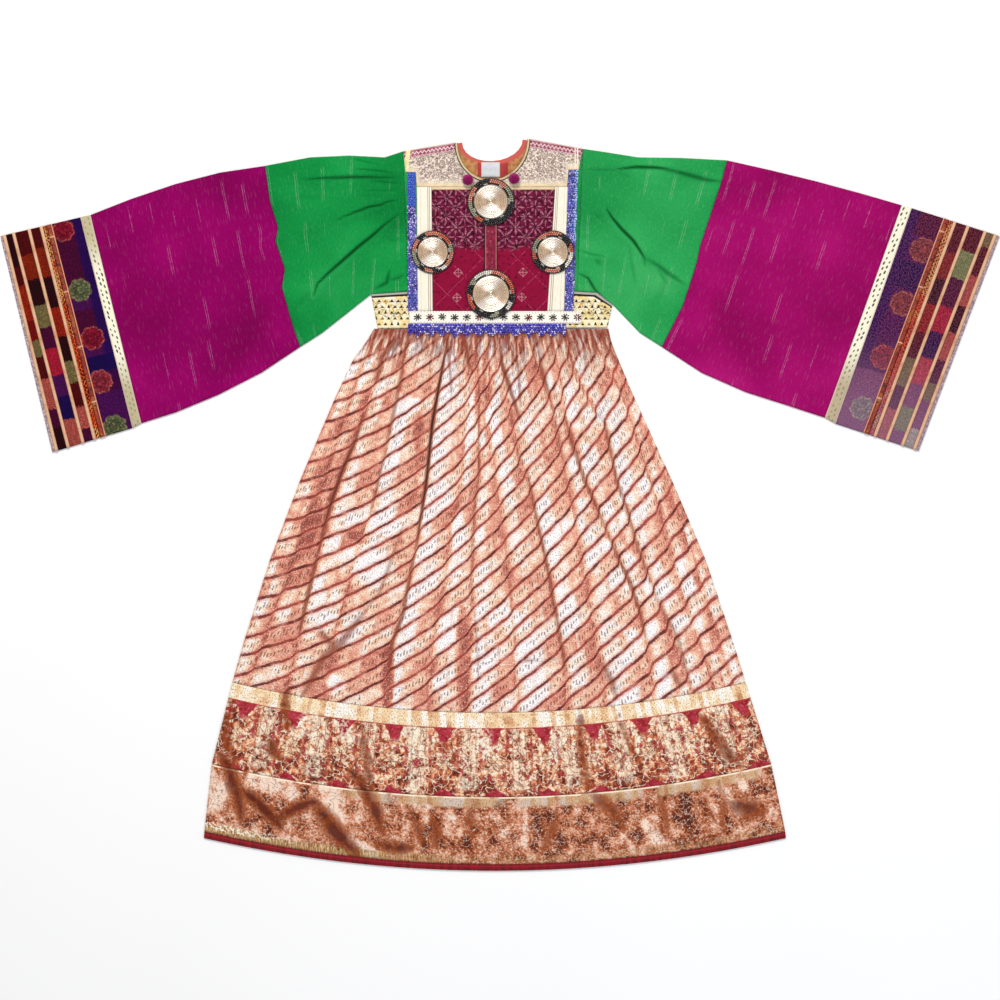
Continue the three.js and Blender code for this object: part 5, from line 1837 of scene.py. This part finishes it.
def add_medallions(rng):
    made = []
    for name, (x, y, disc, rim, on_placket) in MEDALLIONS.items():
        seat = PLACKET_LEVEL + (CLOTH + SEAM if on_placket else 0)
        made.append(add_disc(name, x, y, seat, disc))

        def coloured(t, i, name=name):
            steps = RIM_COLOURS[name].split()
            ink = steps[int((t + rng.uniform(-0.01, 0.01)) * len(steps)) % len(steps)]
            return tint(RIM_INKS[ink]) * rng.uniform(0.75, 1.2)

        def silvered(t, i):
            return tint("#0c0a0c") if (i // 3) % 4 else tint("#d8d4cc")
        # Rings of beads: radius, size, height over the seat, and colours
        rows = [
            (disc + 1.5, 1.15, 1.5, silvered),
            (mix(disc, rim, 0.38), 1.75, 2.4, coloured),
            (mix(disc, rim, 0.66), 1.85, 2.6, coloured),
            (rim - 1.5, 1.5, 1.7, lambda t, i: tint("#1a1416") * rng.uniform(0.7, 1.6)),
        ]
        parts = [
            ring_of_beads(x, y, seat + height, radius, size, colours)
            for radius, size, height, colours in rows
        ]
        centres = np.concatenate([p[0] for p in parts])
        radii = np.concatenate([p[1] for p in parts])
        tints = np.concatenate([np.array(p[2]) for p in parts])
        inner = disc + SEAM
        profile = [(inner, 0), (rim - 0.8, 0), (rim - 0.6, 1.2), (mix(disc, rim, 0.6), 1.9), (inner, 1.2)]
        ring = np.array(turned(x, y, seat, profile, RIM_SEGMENTS))
        quads = ring_quads([(i, (i + 1) % len(profile)) for i in range(len(profile))], RIM_SEGMENTS)
        base = ring, quads, tint("#0c080a")
        piece = bead_cloud(f"medallion_rim_{name}_beads", centres, radii, tints, BEAD_LOOK, base)
        made.append(place(piece, "rim_beads", f"medallion_rim_{name}"))
    return made


def turned(x, y, z, profile, segments):
    """Points of a profile turned about an upright axis, one ring for each of its rows."""
    turn = FULL_TURN * np.arange(segments) / segments
    return [(x + r * math.cos(t), y + r * math.sin(t), z + h) for r, h in profile for t in turn]


def ring_quads(pairs, segments):
    """Quads between pairs of those rings, given by their numbers."""
    faces = []
    for i, n in pairs:
        for j in range(segments):
            k = (j + 1) % segments
            faces.append((i * segments + j, i * segments + k, n * segments + k, n * segments + j))
    return faces


def add_disc(name, x, y, seat, disc):
    """A domed metal disc with raised rings all the way in."""
    outer = [(1.0, 0.0), (1.0, 3.2), (0.97, 3.9), (0.92, 4.3)]
    steps = np.linspace(0.92, 0.0, DISC_RINGS)
    dome = np.interp(steps, [0, 0.45, 0.72, 0.86, 0.92], [5.2, 4.7, 3.5, 4.1, 4.3])
    ridges = 0.22 * np.cos(steps * disc * (FULL_TURN / 3.1))
    profile = [(share * disc, height) for share, height in outer]
    heights = dome + ridges
    profile += [(share * disc, height) for share, height in zip(steps[1:], heights[1:])]
    points = turned(x, y, seat, profile[:-1], DISC_SEGMENTS)
    points += [(x, y, seat + profile[-1][1]), (x, y, seat)]
    top, bottom = len(points) - 2, len(points) - 1
    rings = len(profile) - 1
    faces = ring_quads([(i, i + 1) for i in range(rings - 1)], DISC_SEGMENTS)
    last = (rings - 1) * DISC_SEGMENTS
    for j in range(DISC_SEGMENTS):
        k = (j + 1) % DISC_SEGMENTS
        faces.append((last + j, last + k, top))
        faces.append((k, j, bottom))
    points = np.array(points)
    from_middle = points[:, :2] - (x, y)
    cloth = np.column_stack([from_middle, np.full(len(points), disc)])
    piece = new_object(f"medallion_{name}_disc", points, faces, METAL_LOOK, {"cloth": cloth})
    return place(piece, "medallion_metal", f"medallion_{name}")


# Pompoms

def wool_lock(rng, middle, number):
    """Points of one lock of wool, a bent spike of three sides: two rings and a tip."""
    up = 1 - 1.25 * (number + 0.5) / POMPOM_LOCKS
    turn = number * math.pi * (3 - math.sqrt(5)) + rng.uniform(-0.1, 0.1)
    flat = math.sqrt(1 - up * up)
    way = np.array((flat * math.cos(turn), flat * math.sin(turn), up))
    side_way = np.cross(way, (0.3, 0.5, 0.81))
    side_way /= np.linalg.norm(side_way)
    other_way = np.cross(way, side_way)
    reach = POMPOM_REACH * rng.uniform(0.78, 1.0)
    bend = rng.uniform(-1.2, 1.2, 2)
    points = []
    for share, width in ((0.3, 0.95), (0.7, 0.8)):
        for k in range(3):
            t = FULL_TURN * k / 3
            off = width * (math.cos(t) * side_way + math.sin(t) * other_way)
            lean = share ** 2 * (bend[0] * side_way + bend[1] * other_way)
            points.append(middle + way * reach * share + off + lean)
    points.append(middle + way * reach + bend[0] * side_way + bend[1] * other_way)
    return points


# How far out each point of a lock is, and the lock's faces
LOCK_FLUFF = [0.3] * 3 + [0.7] * 3 + [1.0]
LOCK_FACES = [
    (0, 1, 4), (0, 4, 3), (3, 4, 6),
    (1, 2, 5), (1, 5, 4), (4, 5, 6),
    (2, 0, 3), (2, 3, 5), (5, 3, 6),
    (2, 1, 0),
]


def add_pompoms(rng):
    made = []
    for side, (x, y) in POMPOMS.items():
        middle = np.array((x, y, PLACKET_LEVEL + POMPOM_CORE))
        points = []
        faces = []
        for number in range(POMPOM_LOCKS):
            faces += [tuple(len(points) + corner for corner in face) for face in LOCK_FACES]
            points += wool_lock(rng, middle, number)
        points = np.array(points)
        cloth = np.column_stack([points[:, 0], points[:, 1], LOCK_FLUFF * POMPOM_LOCKS])
        piece = new_object(f"pompom_{side}_wool", points, faces, WOOL_LOOK, {"cloth": cloth})
        made.append(place(piece, "pompom_wool", f"pompom_{side}"))
    return made


# Sleeves

def add_sleeve(side, stations, wave):
    middle = (stations[:, :2] + stations[:, 2:]) / 2
    run = np.concatenate([[0], np.cumsum(np.hypot(*np.diff(middle, axis=0).T))])
    widths = np.hypot(*(stations[:, :2] - stations[:, 2:]).T)
    number = np.arange(len(stations))

    def shade(a, b, x, y):
        return fold_darkness(SLEEVE_FOLDS, x, y)

    def cut(name, look, slot, start, end, front, back, pattern=None, wall=CLOTH, extra=None):
        def plan(a, b):
            return sleeve_point(stations, wave, mix(start, end, b), a)

        def cloth(a, b, x, y):
            at = mix(start, end, b)
            return np.interp(at, number, run), a * np.interp(at, number, widths), a

        made = shell(f"{name}_front_{side}_cloth", look, plan, *front, visible_low, wall=wall,
                     cloth=pattern or cloth, extra=extra)
        place(made, slot, f"{name}_front_{side}")
        under = shell(f"{name}_back_{side}_cloth", look, plan, *back, back_low,
                      cloth=pattern or cloth, extra=extra)
        place(under, slot, f"{name}_back_{side}")
        lay(under)
        lay(made)

    fields = {"shade": shade}
    cut("sleeve_green", GREEN_LOOKS[side], "green_cotton", ARMHOLE, ELBOW, (80, 76), (24, 20),
        extra=fields)
    cut("sleeve_magenta", MAGENTA_LOOKS[side], "magenta_cotton", ELBOW, TRIM, (90, 80), (24, 20),
        extra=fields)

    def trim_pattern(a, b, x, y):
        at = mix(TRIM, CUFF, b)
        return b * TRIM_WIDTH, a * np.interp(at, number, widths), a
    cut("sleeve_trim", TRIM_LOOKS[side], "sleeve_trim", TRIM, CUFF, (90, 6), (24, 3), trim_pattern,
        wall=CLOTH + 0.6)

    def cuff_pattern(a, b, x, y):
        """Strip number from the seam to the edge, distance down from the top, and distance out."""
        knots = [np.zeros_like(a), *(mix(top, low, a) for _, top, low, _ in CUFF_LINES), np.ones_like(a)]
        strip = sum(np.clip((b - first) / (last - first), 0, 1) for first, last in zip(knots, knots[1:]))
        reach = run[EDGE] - run[CUFF]
        return np.minimum(strip, len(CUFF_LINES) + 0.999), a * np.interp(CUFF + b, number, widths), b * reach

    for name, top, low, width in CUFF_LINES:
        def plan(a, b, top=top, low=low, width=width):
            at = CUFF + mix(top, low, a)
            x, y = sleeve_point(stations, wave, at, a)
            next_x, next_y = sleeve_point(stations, wave, at - 0.1, a)
            reach = np.hypot(next_x - x, next_y - y)
            share = (b - 0.5) * width / reach
            return mix(x, next_x, share), mix(y, next_y, share)

        def line_pattern(a, b, x, y, width=width):
            return a * CUFF_LINE_LENGTH, b * width, np.zeros_like(a)
        look, slot = (BRAID_LOOK, "braid") if name == "braid" else (PIPING_LOOK, "piping")
        piece = shell(f"cuff_{name}_{side}_cord", look, plan, 110, 6,
                      lambda x, y: visible_low(x, y) + CLOTH + SEAM, wall=CORD + 0.6,
                      crown=rounded(0.25), cloth=line_pattern)
        place(piece, slot, f"cuff_{name}_{side}")
    cut("cuff", CUFF_LOOKS[side], "cuff_cotton", CUFF, EDGE, (100, 44), (30, 12), cuff_pattern)


# Scene round the dress

PHOTO_CENTRE_Y = 8.25
VIEW_WIDTH = 1650
CAMERA_HEIGHT = 6000
SENSOR = 36
FLOOR_HALF = 12.0
# Lights: name, place and size in metres, power in watts, and tone
LIGHTS = [
    ("key", (-0.6, 2.6, 3.0), (1.6, 1.2), 95, "#fffaf2"),
    ("fill", (1.8, -1.6, 3.2), (2.0, 2.0), 38, "#f4f8ff"),
]
SEED = 11


def add_camera():
    data = bpy.data.cameras.new("camera")
    data.sensor_width = SENSOR
    data.lens = SENSOR * (CAMERA_HEIGHT - PANEL_LEVEL) / VIEW_WIDTH
    camera = bpy.data.objects.new("camera", data)
    camera.location = (0, PHOTO_CENTRE_Y * MM, CAMERA_HEIGHT * MM)
    bpy.context.scene.collection.objects.link(camera)
    bpy.context.scene.camera = camera


def add_light(name, position, size, power, tone):
    """A soft lamp that faces the middle of the dress."""
    data = bpy.data.lights.new(name, "AREA")
    data.shape = "RECTANGLE"
    data.size, data.size_y = size
    data.energy = power
    data.color = colour(tone)[:3]
    lamp = bpy.data.objects.new(name, data)
    lamp.location = position
    lamp.rotation_euler = Vector(position).to_track_quat("Z", "Y").to_euler()
    bpy.context.scene.collection.objects.link(lamp)


def pale_floor(tree):
    x, y, _ = split(tree, tree.nodes.new("ShaderNodeTexCoord").outputs["Object"])
    return paint("#ffffff", "#fcfcfc", noise(x, y, 0.4, 1.0)), None, None


def add_stage():
    mesh = bpy.data.meshes.new("floor")
    low = -0.4 * MM
    corners = [(x * FLOOR_HALF, y * FLOOR_HALF, low) for x, y in ((-1, -1), (1, -1), (1, 1), (-1, 1))]
    mesh.from_pydata(corners, [], [(0, 1, 2, 3)])
    mesh.materials.append(material("pale_floor", pale_floor, roughness=0.9))
    floor_object = bpy.data.objects.new("floor", mesh)
    bpy.context.scene.collection.objects.link(floor_object)
    world = bpy.data.worlds.new("studio")
    bpy.context.scene.world = world
    world.use_nodes = True
    background = world.node_tree.nodes["Background"]
    background.inputs["Color"].default_value = colour("#f4f6fa")
    background.inputs["Strength"].default_value = 0.55
    for light in LIGHTS:
        add_light(*light)
    bpy.context.scene.view_settings.view_transform = "Standard"


def build():
    rng = np.random.default_rng(SEED)
    add_camera()
    add_stage()
    add_skirt()
    top, under, patch, bands = add_bodice()
    sewn = add_front_panel()
    sewn += add_bead_edges(rng)
    sewn.append(add_fringe(rng))
    sewn += add_medallions(rng)
    sewn += add_pompoms(rng)
    lay(under)
    lay(top)
    lay(bands[1])
    lay(bands[0])
    add_sleeve("left", LEFT_SLEEVE, LEFT_WAVE)
    add_sleeve("right", RIGHT_SLEEVE, RIGHT_WAVE)


build()
